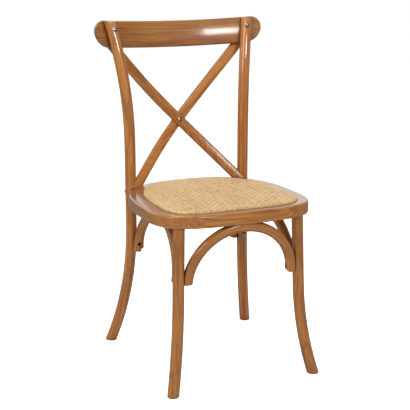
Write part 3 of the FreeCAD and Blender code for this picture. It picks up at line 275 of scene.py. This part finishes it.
def archGrain(place):
    # along and off the bent line of an arch: upright ends, shoulders and a flatter top
    half = place["half"]
    shoulder, spring, rise = archShape["shoulder"], archShape["spring"], archShape["rise"]
    reach = half - shoulder
    lift = rise - spring
    top = (reach ** 2 + lift ** 2 - shoulder ** 2) / (2 * (lift - shoulder))
    topZ = rise - top
    knee = math.atan2(reach, spring - topZ)

    def grain(tree):
        x, y, z = placeNodes(tree)
        run, off = (x, y) if place["alongX"] else (y, x)
        run = minus(tree, run, place["middle"])
        height = minus(tree, z, archShape["foot"])
        off = scaled(tree, height, -math.tan(math.radians(place["lean"])), off)
        off = minus(tree, off, place["aside"])
        out = mathNode(tree, "ABSOLUTE", run)

        def polar(offset, level):
            across = minus(tree, out, offset)
            up = minus(tree, height, level)
            return mathNode(tree, "ARCTAN2", across, up), lengthNode(tree, across, up)

        topTurn, topRay = polar(0.0, topZ)
        lowTurn, lowRay = polar(reach, spring)
        inTop = mathNode(tree, "LESS_THAN", topTurn, knee)
        inEnd = mathNode(tree, "LESS_THAN", height, spring)
        lowTurn = mathNode(tree, "MINIMUM", mathNode(tree, "MAXIMUM", lowTurn, knee), math.pi / 2)
        below = mathNode(tree, "MAXIMUM", minus(tree, spring, height), 0.0)
        lowAlong = plus(tree, scaled(tree, lowTurn, shoulder, knee * (top - shoulder)), below)
        lowOff = select(tree, inEnd, minus(tree, out, half), minus(tree, lowRay, shoulder))
        along = select(tree, inTop, times(tree, topTurn, top), lowAlong)
        across = select(tree, inTop, minus(tree, topRay, top), lowOff)
        return times(tree, along, mathNode(tree, "SIGN", run)), across, off
    return grain


# lacquered beech, stained honey brown

woodValues = {
    "mid": (0.392, 0.151, 0.027),
    "pale": (0.535, 0.233, 0.052),
    "dark": (0.170, 0.054, 0.008),
    "red": (0.310, 0.086, 0.011),
    "pore": (0.080, 0.026, 0.007),
    # dark colour of the painted shade in corners and where the surface is seen at a grazing angle
    "edge": (0.085, 0.028, 0.007),
    "ringSpacing": 0.0034,
    "ringSway": 9.0,
    "ringStops": [(0.0, grey(0.0)), (0.62, grey(0.25)), (0.93, grey(1.0))],
    # how strongly each mark shows
    "streaks": 0.72,
    "rings": 0.50,
    "fibres": 0.26,
    "flecks": 0.50,
    # painted shade: in corners, and where the surface is seen at a grazing angle
    "cornerShade": 0.70,
    "rimShade": 0.62,
    "cornerReach": 0.012,
    "edgeRadius": 0.0022,
    "edgeWear": (0.15, 0.35),
    "edgeSpan": (0.80, 0.985),
    "cornerSpan": (0.30, 0.85),
    "rimSpan": (0.45, 0.97),
    "roughness": 0.36,
    "roughMore": 0.10,
    "underGloss": 0.25,
    # relief of the wood and of the lacquer over it
    "fibreHeight": -0.35,
    "fleckHeight": -0.5,
    "waveHeight": 0.9,
    "grainBump": 0.5,
    "grainDepth": 0.00010,
    "lacquerFibres": -0.10,
    "lacquerBump": 0.35,
    "lacquerDepth": 0.00008,
    "lacquerIndex": 1.52,
    # each piece's stains scaled lighter or darker; on the crest the darkening is painted shade, offsetting
    # the key lamp it faces; and boards with quieter marks
    "toneAndShade": {"crest_rail": 0.77, "rear_leg_left": 1.14, "rear_leg_right": 1.18, "front_leg_left": 0.95,
             "front_leg_right": 0.93, "cross_slat_front": 1.02, "cross_slat_rear": 1.26, "front_arch": 0.96},
    "figure": {"crest_rail": 0.55},
    # how strong and how rough the lacquer is, by a word in the node's name; ring for the rest
    "lacquer": {"leg": (1.0, 0.055), "crest": (0.60, 0.125), "slat": (0.45, 0.20), "arch": (0.85, 0.10),
                "ring": (0.85, 0.13)},
}


# noises stretched along the grain: scales along and across it, and the span that becomes a mask
woodNoises = {
    "cloud": {"along": 4.0, "across": 22.0, "detail": 2.0, "roughness": 0.5, "distortion": 0.4,
              "span": (0.33, 0.68)},
    "sway": {"along": 5.0, "across": 14.0, "detail": 2.0, "roughness": 0.45},
    "streak": {"along": 7.0, "across": 170.0, "detail": 3.0, "roughness": 0.62, "span": (0.36, 0.66)},
    "fibre": {"along": 26.0, "across": 1150.0, "detail": 2.0, "roughness": 0.6, "span": (0.40, 0.62)},
    "fleck": {"along": 240.0, "across": 1300.0, "detail": 1.0, "roughness": 0.5, "span": (0.66, 0.76)},
    "wave": {"along": 60.0, "across": 90.0, "detail": 2.0, "roughness": 0.5},
}
# how each piece's number moves its noises and turns its rings
seedValues = {"step": 0.317, "along": 7, "across": 3, "ringTurn": 0.5, "ringSwing": 0.9, "ringStep": 2.1}


def lacquerOf(node):
    for word, values in woodValues["lacquer"].items():
        if word in node:
            return values
    return woodValues["lacquer"]["ring"]


def edgeNode(tree, radius):
    # how far the rounded normal turns from the true one: low on sharp edges
    bevel = tree.nodes.new("ShaderNodeBevel")
    bevel.samples = 6
    bevel.inputs["Radius"].default_value = radius
    geometry = tree.nodes.new("ShaderNodeNewGeometry")
    turned = tree.nodes.new("ShaderNodeVectorMath")
    turned.operation = "DOT_PRODUCT"
    tree.links.new(bevel.outputs[0], turned.inputs[0])
    tree.links.new(geometry.outputs["Normal"], turned.inputs[1])
    return turned.outputs["Value"]


def ringNode(tree, across, through, sway, seed):
    # growth rings, cut lengthwise
    spacing = woodValues["ringSpacing"]
    turn = seedValues["ringTurn"] + seedValues["ringSwing"] * math.sin(seed * seedValues["ringStep"])
    place = scaled(tree, across, math.cos(turn) / spacing, times(tree, through, math.sin(turn) / spacing))
    place = scaled(tree, sway, woodValues["ringSway"], place)
    ring = mathNode(tree, "PINGPONG", place, 1.0)
    return rampNode(tree, ring, woodValues["ringStops"], True)


def woodMaterial(node, grain, seed):
    material, tree, shader = newMaterial("wood_" + node)
    look = woodValues
    toneAndShade = look["toneAndShade"].get(node, 1.0)
    figure = look["figure"].get(node, 1.0)
    stains = ("mid", "pale", "dark", "red")
    mid, pale, dark, red = (tuple(part * toneAndShade for part in look[stain]) for stain in stains)
    along, across, through = grain(tree)
    shift = seed * seedValues["step"]

    def grainNoise(name):
        values = woodNoises[name]
        place = vectorNode(tree, scaled(tree, along, values["along"], shift * seedValues["along"]),
                           scaled(tree, across, values["across"], shift * seedValues["across"]),
                           scaled(tree, through, values["across"], shift))
        distortion = values.get("distortion", 0.0)
        return noiseNode(tree, place, 1.0, values["detail"], values["roughness"], distortion)

    def grainMask(name, smooth=False):
        return maskNode(tree, grainNoise(name), woodNoises[name]["span"], smooth)

    cloud = grainMask("cloud", True)
    streaks = grainMask("streak", True)
    fibres = grainMask("fibre")
    flecks = grainMask("fleck")
    rings = ringNode(tree, across, through, grainNoise("sway"), seed)
    wave = grainNoise("wave")

    colour = mixNode(tree, cloud, red, mid)
    colour = stainNode(tree, colour, streaks, look["streaks"], pale)
    colour = stainNode(tree, colour, rings, look["rings"] * figure, dark)
    colour = stainNode(tree, colour, fibres, look["fibres"] * figure, dark)
    colour = stainNode(tree, colour, flecks, look["flecks"] * figure, look["pore"])

    # stain rubs thin on sharp edges; painted shade darkens the corners
    least, more = look["edgeWear"]
    edges = fadeNode(tree, edgeNode(tree, look["edgeRadius"]), look["edgeSpan"])
    colour = mixNode(tree, times(tree, edges, scaled(tree, cloud, more, least)), colour, pale)
    corners = fadeNode(tree, cornerNode(tree, look["cornerReach"]), look["cornerSpan"])
    colour = stainNode(tree, colour, corners, look["cornerShade"], look["edge"])
    # painted shade: darker where the surface is seen at a grazing angle, turning away from the light
    facing = tree.nodes.new("ShaderNodeLayerWeight")
    facing.inputs["Blend"].default_value = 0.5
    rim = maskNode(tree, facing.outputs["Facing"], look["rimSpan"], True)
    colour = stainNode(tree, colour, rim, look["rimShade"], look["edge"])
    feed(tree, shader.inputs["Base Color"], colour)

    rough = scaled(tree, streaks, look["roughMore"], look["roughness"])
    feed(tree, shader.inputs["Roughness"], scaled(tree, edges, look["roughMore"], rough))
    height = scaled(tree, fibres, look["fibreHeight"], times(tree, flecks, look["fleckHeight"]))
    height = scaled(tree, wave, look["waveHeight"], height)
    feed(tree, shader.inputs["Normal"], bumpNode(tree, height, look["grainBump"], look["grainDepth"]))
    coatHeight = scaled(tree, fibres, look["lacquerFibres"], wave)
    coatNormal = bumpNode(tree, coatHeight, look["lacquerBump"], look["lacquerDepth"])
    feed(tree, shader.inputs["Coat Normal"], coatNormal)
    coat, coatRoughness = lacquerOf(node)
    shader.inputs["Specular IOR Level"].default_value = look["underGloss"]
    shader.inputs["Coat Weight"].default_value = coat
    shader.inputs["Coat Roughness"].default_value = coatRoughness
    shader.inputs["Coat IOR"].default_value = look["lacquerIndex"]
    return material


# bolts and screws

metalValues = {
    "nickelBolt": {"colour": (0.40, 0.345, 0.285), "roughness": 0.17, "scratch": 900.0},
    "zincScrew": {"colour": (0.46, 0.43, 0.40), "roughness": 0.34, "scratch": 2400.0},
    # painted shade in the hollows: its colour, strength, reach and span
    "hollowShade": (0.06, 0.05, 0.045),
    "hollowShadeStrength": 0.7,
    "hollowShadeReach": 0.003,
    "hollowShadeSpan": (0.25, 0.80),
    "dullest": 0.72,
    "dullSpan": (0.35, 0.65),
    "smearScale": 900.0,
    "smearRoughness": 0.16,
    "smearOffset": 0.05,
    "scratchStretch": 0.15,
    "scratchBump": 0.25,
    "scratchDepth": 0.00004,
}


def metalMaterial(name):
    material, tree, shader = newMaterial(name)
    metal, look = metalValues[name], metalValues
    x, y, z = placeNodes(tree)
    smear = noiseNode(tree, vectorNode(tree, x, y, z), look["smearScale"], 3.0, 0.6)
    drawn = vectorNode(tree, times(tree, x, look["scratchStretch"]), y, z)
    lines = noiseNode(tree, drawn, metal["scratch"], 2.0, 0.5)
    dullest = tuple(part * look["dullest"] for part in metal["colour"])
    low, high = look["dullSpan"]
    dull = rampNode(tree, smear, [(low, dullest), (high, metal["colour"])])
    # painted shade: darker in the hollows of bolts and screws
    shade = fadeNode(tree, cornerNode(tree, look["hollowShadeReach"]), look["hollowShadeSpan"])
    colour = stainNode(tree, dull, shade, look["hollowShadeStrength"], look["hollowShade"])
    feed(tree, shader.inputs["Base Color"], colour)
    rough = scaled(tree, smear, look["smearRoughness"], metal["roughness"] - look["smearOffset"])
    feed(tree, shader.inputs["Roughness"], rough)
    feed(tree, shader.inputs["Normal"], bumpNode(tree, lines, look["scratchBump"], look["scratchDepth"]))
    shader.inputs["Metallic"].default_value = 1.0
    return material


# plywood seat board, seen from below

plywoodValues = {
    "figure": [(0.30, (0.36, 0.225, 0.115)), (0.52, (0.52, 0.355, 0.20)), (0.72, (0.60, 0.43, 0.26))],
    "figureScales": (6.0, 160.0, 160.0),
    "cloud": (0.38, 0.24, 0.13),
    "cloudScales": (3.0, 18.0, 1.0),
    "cloudStrength": 0.35,
    "glueLine": (0.22, 0.125, 0.06),
    "glueStrength": 0.6,
    "glueSpan": (0.40, 0.60),
    "plyThickness": 0.0018,
    "sideLimit": 0.5,
    "roughness": 0.72,
    "grainDepth": 0.0002,
}


def plywoodMaterial():
    material, tree, shader = newMaterial("plywoodBoard")
    look = plywoodValues
    x, y, z = placeNodes(tree)
    face = vectorNode(tree, *(times(tree, way, scale) for way, scale in zip((x, y, z), look["figureScales"])))
    figure = noiseNode(tree, face, 1.0, 3.0, 0.6, 0.5)
    broad = vectorNode(tree, *(times(tree, way, scale) for way, scale in zip((x, y, z), look["cloudScales"])))
    cloud = noiseNode(tree, broad, 1.0, 2.0, 0.5, 0.8)
    ply = mathNode(tree, "PINGPONG", times(tree, z, 1 / look["plyThickness"]), 1.0)
    glue = maskNode(tree, ply, look["glueSpan"])
    normal = splitNode(tree, tree.nodes.new("ShaderNodeNewGeometry").outputs["Normal"])
    side = mathNode(tree, "LESS_THAN", mathNode(tree, "ABSOLUTE", normal[2]), look["sideLimit"])
    colour = rampNode(tree, figure, look["figure"])
    colour = stainNode(tree, colour, cloud, look["cloudStrength"], look["cloud"])
    colour = stainNode(tree, colour, times(tree, side, glue), look["glueStrength"], look["glueLine"])
    feed(tree, shader.inputs["Base Color"], colour)
    feed(tree, shader.inputs["Normal"], bumpNode(tree, figure, 0.5, look["grainDepth"]))
    shader.inputs["Roughness"].default_value = look["roughness"]
    return material


def dress(node, material):
    for place in nodes[node].material_slots:
        place.material = material


woodGrains = {
    "rear_leg_left": legGrain(-1, postShape),
    "rear_leg_right": legGrain(1, postShape),
    "front_leg_left": legGrain(-1, legShape),
    "front_leg_right": legGrain(1, legShape),
    "seat_front_rail": alongX,
    "seat_back_rail": alongX,
    "seat_side_rail_left": alongY,
    "seat_side_rail_right": alongY,
    "crest_rail": crestGrain,
    "cross_slat_front": slatGrain(-1),
    "cross_slat_rear": slatGrain(1),
    "front_arch": archGrain(archPlaces["front"]),
    "back_arch": archGrain(archPlaces["back"]),
    "side_arch_left": archGrain(archPlaces["left"]),
    "side_arch_right": archGrain(archPlaces["right"]),
    "seat_ring_dowels": alongX,
    "slat_foot_dowels": alongX,
}
metalNodes = {
    "nickelBolt": ("crest_bolts", "crest_nuts", "cross_bolt", "cross_nut", "seat_bolts", "seat_barrel_nuts"),
    "zincScrew": ("arch_end_screws", "arch_top_screws", "slat_top_screws", "seat_board_screws"),
}

for number, (node, grain) in enumerate(woodGrains.items()):
    dress(node, woodMaterial(node, grain, number + 1))
print("wood laid on", len(woodGrains), "nodes")
for name, group in metalNodes.items():
    metal = metalMaterial(name)
    for node in group:
        dress(node, metal)
dress("seat_board", plywoodMaterial())
print("metal and plywood dressed")


# cane mat: strips of split rattan woven over two and under two, turned down at the rim

matValues = {
    "halfWidth": 0.1802,
    "widest": -0.090,
    "frontDepth": 0.1222,
    "rearDepth": 0.2442,
    "frontPower": 4.3,
    "rearPower": 2.6,
    "rimTop": 0.4555,
    "crown": 0.005,
    "crownReach": 0.118,
    "shortest": 3,
    "foot": 0.4390,
    "footRise": 0.0004,
    "footSpread": 0.2,
    "roll": 0.005,
    "weaveMiddle": -0.029,
    "reach": 52,
    "pitch": 0.0047,
    "stripWidth": 0.0043,
    "stripThickness": 0.0006,
    # how high the strips wave, how square the wave is, and the lie of the whole weave
    "lift": 0.00042,
    "squareness": 2.2,
    "sunk": 0.00035,
    "crossSunk": 0.00004,
    "endMargin": 0.0042,
    # where the weave goes flat near the rim, and how far the strips pull in there
    "flatFrom": 0.001,
    "flatRun": 0.005,
    "pullIn": 0.0006,
    "pullShares": (0.2, 0.7),
    # spread of the strips' tilt and width
    "tiltSpread": 0.10,
    "tiltRise": 0.0006,
    "widthSpread": 0.025,
    "seed": 11,
}
# corners of a strip's section, across and up, and the steps of a strip over the rim
stripSection = [(-1.0, -0.55), (-1.0, 0.05), (-0.62, 0.45), (0.0, 0.6), (0.62, 0.45), (1.0, 0.05),
                (1.0, -0.55)]
rimSteps = (0.35, 0.62, 0.82, 0.93, 0.985)
smallest = 1e-6


def outlineSides(y):
    # half the width of the mat at a depth
    v = matValues
    run = y - v["widest"]
    depth, power = (v["frontDepth"], v["frontPower"]) if run < 0 else (v["rearDepth"], v["rearPower"])
    share = min(abs(run) / depth, 1.0)
    return v["halfWidth"] * (1.0 - share ** power) ** (1.0 / power)


def outlineEnds(x):
    # front and rear of the mat at a place across
    v = matValues
    share = min(abs(x) / v["halfWidth"], 1.0)
    front = v["widest"] - v["frontDepth"] * (1.0 - share ** v["frontPower"]) ** (1.0 / v["frontPower"])
    rear = v["widest"] + v["rearDepth"] * (1.0 - share ** v["rearPower"]) ** (1.0 / v["rearPower"])
    return front, rear


def rimDistance(x, y):
    # how far inside the rim each place is
    v = matValues
    run = y - v["widest"]
    depth = np.where(run < 0, v["frontDepth"], v["rearDepth"])
    power = np.where(run < 0, v["frontPower"], v["rearPower"])
    farX = np.maximum(np.abs(x), smallest)
    farY = np.maximum(np.abs(run), smallest)
    shareX = (farX / v["halfWidth"]) ** power
    shareY = (farY / depth) ** power
    level = shareX + shareY
    size = level ** (1.0 / power)
    slopeX = size * (shareX / level) / farX
    slopeY = size * (shareY / level) / farY
    return (1.0 - size) / np.sqrt(slopeX ** 2 + slopeY ** 2)


def matSurface(distance):
    v = matValues
    inside = np.clip(distance, 0.0, v["roll"])
    rim = np.sqrt(np.maximum(v["roll"] ** 2 - (v["roll"] - inside) ** 2, 0.0)) - v["roll"]
    share = np.clip(distance / v["crownReach"], 0.0, 1.0)
    return v["rimTop"] + rim + v["crown"] * (1.0 - (1.0 - share) ** 2)


def meshObject(name, points, faces, smooth=True):
    mesh = bpy.data.meshes.new(name)
    mesh.from_pydata([tuple(point) for point in points], [], faces)
    mesh.update()
    if smooth:
        mesh.shade_smooth()
    item = bpy.data.objects.new(name, mesh)
    bpy.context.collection.objects.link(item)
    return item


def stripEnds(place, lengthwise):
    # where the corner lines of a strip meet the rim; None when one misses the mat
    v = matValues
    low, high = [], []
    for across, _ in stripSection:
        at = place + across * v["stripWidth"] / 2
        if lengthwise:
            if not v["widest"] - v["frontDepth"] < at < v["widest"] + v["rearDepth"]:
                return None
            reach = outlineSides(at)
            front, rear = -reach, reach
        else:
            if abs(at) >= v["halfWidth"]:
                return None
            front, rear = outlineEnds(at)
        low.append(front)
        high.append(rear)
    return low, high


def weaveWave(runs, index, lengthwise):
    # over two, under two, with flat crests
    v = matValues
    if lengthwise:
        phase, sign = runs / v["pitch"] - index - 0.5, 1.0
    else:
        phase, sign = (runs - v["weaveMiddle"]) / v["pitch"] - index + 0.5, -1.0
    wave = sign * np.cos(2 * np.pi * phase / 4.0)
    return np.tanh(v["squareness"] * wave) / np.tanh(v["squareness"])


def stripLine(runs, at, corner, wave, tilt, lengthwise):
    # one corner line of a strip, from foot to foot over the mat
    v = matValues
    across, up = stripSection[corner]
    rise = up * v["stripThickness"]
    x, y = (runs, at) if lengthwise else (at, runs)
    distance = rimDistance(x, y)
    flat = np.clip((distance - v["flatFrom"]) / v["flatRun"], 0.0, 1.0)
    z = matSurface(np.maximum(distance, 0.0)) + wave * v["lift"] * flat
    z += rise - v["lift"] - v["sunk"] + across * tilt * v["tiltRise"]
    if not lengthwise:
        z -= v["crossSunk"]
    z[0] = z[-1] = v["foot"] + v["footRise"] + rise * v["footSpread"]
    inward = np.where(np.clip(distance, 0.0, None) < v["pullIn"], v["pullIn"] - rise, 0.0)
    x = x - np.sign(x) * inward * v["pullShares"][lengthwise]
    return np.stack([x, y, z], axis=1)


def closedStrip(base, count, lengthwise):
    # faces of one closed strip whose points start at base
    wide = len(stripSection)
    faces = []
    for step in range(count - 1):
        for corner in range(wide):
            following = (corner + 1) % wide
            a = base + step * wide + corner
            b = base + step * wide + following
            c = base + (step + 1) * wide + following
            d = base + (step + 1) * wide + corner
            faces.append((a, d, c, b) if lengthwise else (a, b, c, d))
    lastRow = base + (count - 1) * wide
    for start, forward in ((base, lengthwise), (lastRow, not lengthwise)):
        faces.append(tuple(start + corner for corner in (range(wide) if forward else reversed(range(wide)))))
    return faces


def wovenStrips():
    v = matValues
    half = v["pitch"] / 2
    points, faces, shades, ways = [], [], [], []
    random = np.random.default_rng(v["seed"])

    def strip(index, lengthwise):
        place = index * v["pitch"] + (v["weaveMiddle"] if lengthwise else 0.0)
        ends = stripEnds(place, lengthwise)
        if ends is None:
            return
        low, high = ends
        start, stop = max(low) + v["endMargin"], min(high) - v["endMargin"]
        if stop - start < v["shortest"] * v["pitch"]:
            return
        origin = 0.0 if lengthwise else v["weaveMiddle"]
        first = math.ceil((start - origin) / half)
        last = math.floor((stop - origin) / half)
        inner = [origin + step * half for step in range(first, last + 1)]
        shade = random.uniform(0.0, 1.0)
        tilt = random.normal(0.0, v["tiltSpread"])
        width = 1.0 + random.normal(0.0, v["widthSpread"])
        lines = []
        for corner, (across, _) in enumerate(stripSection):
            before = [low[corner] + (inner[0] - low[corner]) * (1.0 - share) for share in reversed(rimSteps)]
            after = [inner[-1] + (high[corner] - inner[-1]) * share for share in rimSteps]
            runs = np.array([before[0]] + before + inner + after + [after[-1]])
            at = np.full_like(runs, place + across * v["stripWidth"] / 2 * width)
            wave = weaveWave(runs, index, lengthwise)
            lines.append(stripLine(runs, at, corner, wave, tilt, lengthwise))
        newFaces = closedStrip(len(points), len(lines[0]), lengthwise)
        for step in range(len(lines[0])):
            points.extend(line[step] for line in lines)
        faces.extend(newFaces)
        shades.extend([shade] * len(newFaces))
        ways.extend([float(lengthwise)] * len(newFaces))

    for index in range(-v["reach"], v["reach"] + 1):
        strip(index, True)
        strip(index, False)
    return points, faces, shades, ways


# cane: each strip its own hue, darker fibres, and painted shade darkening the hollows between strips

caneValues = {
    "pale": (0.735, 0.510, 0.245),
    "mid": (0.610, 0.385, 0.160),
    "dark": (0.300, 0.160, 0.058),
    # dark colour of the painted shade between strips
    "gap": (0.130, 0.065, 0.026),
    "palest": 0.45,
    # noises stretched along a strip, moved on from strip to strip
    "blotch": {"along": 18.0, "across": 60.0, "detail": 3.0, "span": (0.42, 0.72)},
    "fibre": {"along": 60.0, "across": 2600.0, "detail": 2.0, "span": (0.45, 0.70)},
    "shadeStep": 40.0,
    "upShare": 0.4,
    "blotches": 0.75,
    "fibres": 0.28,
    # painted shade in the hollows between strips: strength, reach and span
    "gaps": 0.75,
    "gapReach": 0.0030,
    "gapSpan": (0.35, 0.86),
    "roughness": 0.42,
    "roughMore": 0.18,
    "fibreBump": 0.45,
    "fibreDepth": 0.00006,
    "gloss": 0.42,
    "sheen": 0.06,
}


def attributeNode(tree, name):
    node = tree.nodes.new("ShaderNodeAttribute")
    node.attribute_name = name
    return node.outputs["Fac"]


def caneMaterial():
    material, tree, shader = newMaterial("splitCane")
    look = caneValues
    x, y, z = placeNodes(tree)
    shade = attributeNode(tree, "stripShade")
    way = attributeNode(tree, "stripWay")
    along = select(tree, way, x, y)
    across = select(tree, way, y, x)

    def caneNoise(values):
        place = vectorNode(tree, scaled(tree, along, values["along"], times(tree, shade, look["shadeStep"])),
                           times(tree, across, values["across"]),
                           times(tree, z, values["across"] * look["upShare"]))
        return noiseNode(tree, place, 1.0, values["detail"], 0.6)

    blotch = caneNoise(look["blotch"])
    fibre = caneNoise(look["fibre"])
    blotches = maskNode(tree, blotch, look["blotch"]["span"], True, look["blotches"])
    fibres = maskNode(tree, fibre, look["fibre"]["span"])
    # painted shade darkens the hollows between strips
    gaps = fadeNode(tree, cornerNode(tree, look["gapReach"], 8), look["gapSpan"])
    colour = rampNode(tree, shade, [(0.0, look["mid"]), (look["palest"], look["pale"]), (1.0, look["mid"])])
    colour = mixNode(tree, blotches, colour, look["dark"])
    colour = stainNode(tree, colour, fibres, look["fibres"], look["dark"])
    colour = stainNode(tree, colour, gaps, look["gaps"], look["gap"])
    feed(tree, shader.inputs["Base Color"], colour)
    feed(tree, shader.inputs["Roughness"], scaled(tree, blotch, look["roughMore"], look["roughness"]))
    feed(tree, shader.inputs["Normal"], bumpNode(tree, fibre, look["fibreBump"], look["fibreDepth"]))
    shader.inputs["Specular IOR Level"].default_value = look["gloss"]
    shader.inputs["Sheen Weight"].default_value = look["sheen"]
    return material


matPoints, matFaces, matShades, matWays = wovenStrips()
caneMat = meshObject("caneMat", matPoints, matFaces)
shadeLayer = caneMat.data.attributes.new("stripShade", "FLOAT", "FACE")
shadeLayer.data.foreach_set("value", matShades)
wayLayer = caneMat.data.attributes.new("stripWay", "FLOAT", "FACE")
wayLayer.data.foreach_set("value", matWays)
caneMat.data.materials.append(caneMaterial())
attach(caneMat, "root")
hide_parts("rattan_mat")
print("cane mat woven, faces:", len(matFaces))


# seat pad under the mat: upright sides, a rolled rim and a crowned middle

padValues = {
    "inset": 0.0024,
    "foot": 0.4475,
    "top": 0.4535,
    "around": 120,
    "rollSteps": (0.25, 0.5, 0.75, 1.0),
    "crownSteps": (0.012, 0.028, 0.05, 0.078, 0.10),
    "clothStops": [(0.3, (0.16, 0.095, 0.045)), (0.7, (0.24, 0.15, 0.075))],
    "fuzzScale": 300.0,
    "thread": 0.0009,
    "threadHeight": 0.5,
    "clothBump": 0.5,
    "clothDepth": 0.0003,
    "roughness": 0.92,
    "sheen": 0.2,
}


def padRings():
    # how far in and how high each ring of points lies
    v = padValues
    roll, crown, reach = matValues["roll"], matValues["crown"], matValues["crownReach"]
    rings = [(0.0, v["foot"]), (0.0, v["top"] - roll)]
    for share in v["rollSteps"]:
        turn = share * math.pi / 2
        rings.append((roll * (1 - math.cos(turn)), v["top"] - roll + roll * math.sin(turn)))
    for run in v["crownSteps"]:
        rings.append((run, v["top"] + crown * (1 - (1 - run / reach) ** 2)))
    return rings


def padRing(run, height):
    v = matValues
    inset = padValues["inset"]
    halfWidth = v["halfWidth"] - inset - run
    points = []
    for step in range(padValues["around"]):
        turn = 2 * math.pi * (step + 0.5) / padValues["around"]
        sine, cosine = math.sin(turn), math.cos(turn)
        depth = (v["frontDepth"] if sine < 0 else v["rearDepth"]) - inset - run
        power = v["frontPower"] if sine < 0 else v["rearPower"]
        reach = ((abs(cosine) / halfWidth) ** power + (abs(sine) / depth) ** power) ** (-1 / power)
        points.append((reach * cosine, v["widest"] + reach * sine, height))
    return points


def softPad(name):
    around = padValues["around"]
    rings = padRings()
    points = [point for run, height in rings for point in padRing(run, height)]
    faces = []
    for ring in range(len(rings) - 1):
        for step in range(around):
            following = (step + 1) % around
            faces.append((ring * around + step, ring * around + following,
                          (ring + 1) * around + following, (ring + 1) * around + step))
    faces.append(tuple(reversed(range(around))))
    faces.append(tuple((len(rings) - 1) * around + step for step in range(around)))
    return meshObject(name, points, faces)


def padMaterial():
    material, tree, shader = newMaterial("padCloth")
    look = padValues
    x, y, z = placeNodes(tree)
    weft = mathNode(tree, "SINE", times(tree, x, 2 * math.pi / look["thread"]))
    warp = mathNode(tree, "SINE", times(tree, y, 2 * math.pi / look["thread"]))
    fuzz = noiseNode(tree, vectorNode(tree, x, y, z), look["fuzzScale"], 3.0, 0.6)
    height = scaled(tree, times(tree, weft, warp), look["threadHeight"], fuzz)
    feed(tree, shader.inputs["Base Color"], rampNode(tree, fuzz, look["clothStops"]))
    feed(tree, shader.inputs["Normal"], bumpNode(tree, height, look["clothBump"], look["clothDepth"]))
    shader.inputs["Roughness"].default_value = look["roughness"]
    shader.inputs["Sheen Weight"].default_value = look["sheen"]
    return material


seatPad = softPad("seatPad")
seatPad.data.materials.append(padMaterial())
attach(seatPad, "root")
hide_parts("seat_padding")
print("seat pad made")


# studio: pale floor, soft lamps, white all round

lampValues = {
    "keyLamp": {"place": (0.36, -2.75, 2.05), "aim": (0.0, 0.0, 0.6), "size": (0.70, 0.42), "power": 33.0},
    "sideLamp": {"place": (-2.6, -1.2, 2.2), "aim": (0.0, 0.0, 0.45), "size": (1.3, 1.3), "power": 36.0},
    "topLamp": {"place": (-0.3, 0.2, 2.8), "aim": (0.0, 0.0, 0.45), "size": (1.2, 0.9), "power": 26.0},
}


def addLamp(name, values):
    data = bpy.data.lights.new(name, "AREA")
    data.shape = "RECTANGLE"
    data.size, data.size_y = values["size"]
    data.energy = values["power"]
    lamp = bpy.data.objects.new(name, data)
    lamp.location = values["place"]
    aim = Vector(values["aim"]) - Vector(values["place"])
    lamp.rotation_euler = aim.to_track_quat("-Z", "Y").to_euler()
    bpy.context.collection.objects.link(lamp)


# light from all round, brighter behind and above, where the lacquered ring mirrors the backdrop
worldValues = {
    "colour": (1.0, 0.985, 0.965),
    "strength": 0.37,
    "backGlow": 0.95,
    "behind": (1.8, -0.5),
    "above": (9.0, -0.3),
    "toCamera": (1.0, 1.0, 1.0),
}


def clampedNode(tree, value, line):
    factor, offset = line
    result = scaled(tree, value, factor, offset)
    result.node.use_clamp = True
    return result


def addWorld():
    world = bpy.data.worlds.new("studioWorld")
    bpy.context.scene.world = world
    world.use_nodes = True
    tree = world.node_tree
    tree.nodes.clear()
    look = worldValues
    lighting = tree.nodes.new("ShaderNodeBackground")
    feed(tree, lighting.inputs["Color"], look["colour"])
    _, depth, up = splitNode(tree, tree.nodes.new("ShaderNodeTexCoord").outputs["Generated"])
    glow = times(tree, clampedNode(tree, depth, look["behind"]), clampedNode(tree, up, look["above"]))
    feed(tree, lighting.inputs["Strength"], scaled(tree, glow, look["backGlow"], look["strength"]))
    backdrop = tree.nodes.new("ShaderNodeBackground")
    feed(tree, backdrop.inputs["Color"], look["toCamera"])
    choose = tree.nodes.new("ShaderNodeMixShader")
    tree.links.new(tree.nodes.new("ShaderNodeLightPath").outputs["Is Camera Ray"], choose.inputs[0])
    tree.links.new(lighting.outputs[0], choose.inputs[1])
    tree.links.new(backdrop.outputs[0], choose.inputs[2])
    tree.links.new(choose.outputs[0], tree.nodes.new("ShaderNodeOutputWorld").inputs[0])


# white to the camera, but dark in the lacquer's reflections
floorValues = {
    "halfSize": 6.0,
    "colour": (0.88, 0.88, 0.875),
    "glow": 0.66,
    "glowColour": (1.0, 1.0, 1.0),
    "inLacquer": 0.30,
    "roughness": 0.8,
}


def addFloor():
    look = floorValues
    half = look["halfSize"]
    corners = [(-half, -half, 0.0), (half, -half, 0.0), (half, half, 0.0), (-half, half, 0.0)]
    floor = meshObject("studioFloor", corners, [(0, 1, 2, 3)], False)
    material, tree, shader = newMaterial("paleFloor")
    rays = tree.nodes.new("ShaderNodeLightPath")
    colour = mixNode(tree, rays.outputs["Is Glossy Ray"], look["colour"], grey(look["inLacquer"]))
    feed(tree, shader.inputs["Base Color"], colour)
    feed(tree, shader.inputs["Emission Strength"], times(tree, rays.outputs["Is Camera Ray"], look["glow"]))
    feed(tree, shader.inputs["Emission Color"], look["glowColour"])
    shader.inputs["Roughness"].default_value = look["roughness"]
    floor.data.materials.append(material)
    return floor


for name, values in lampValues.items():
    addLamp(name, values)
addWorld()
floor = addFloor()
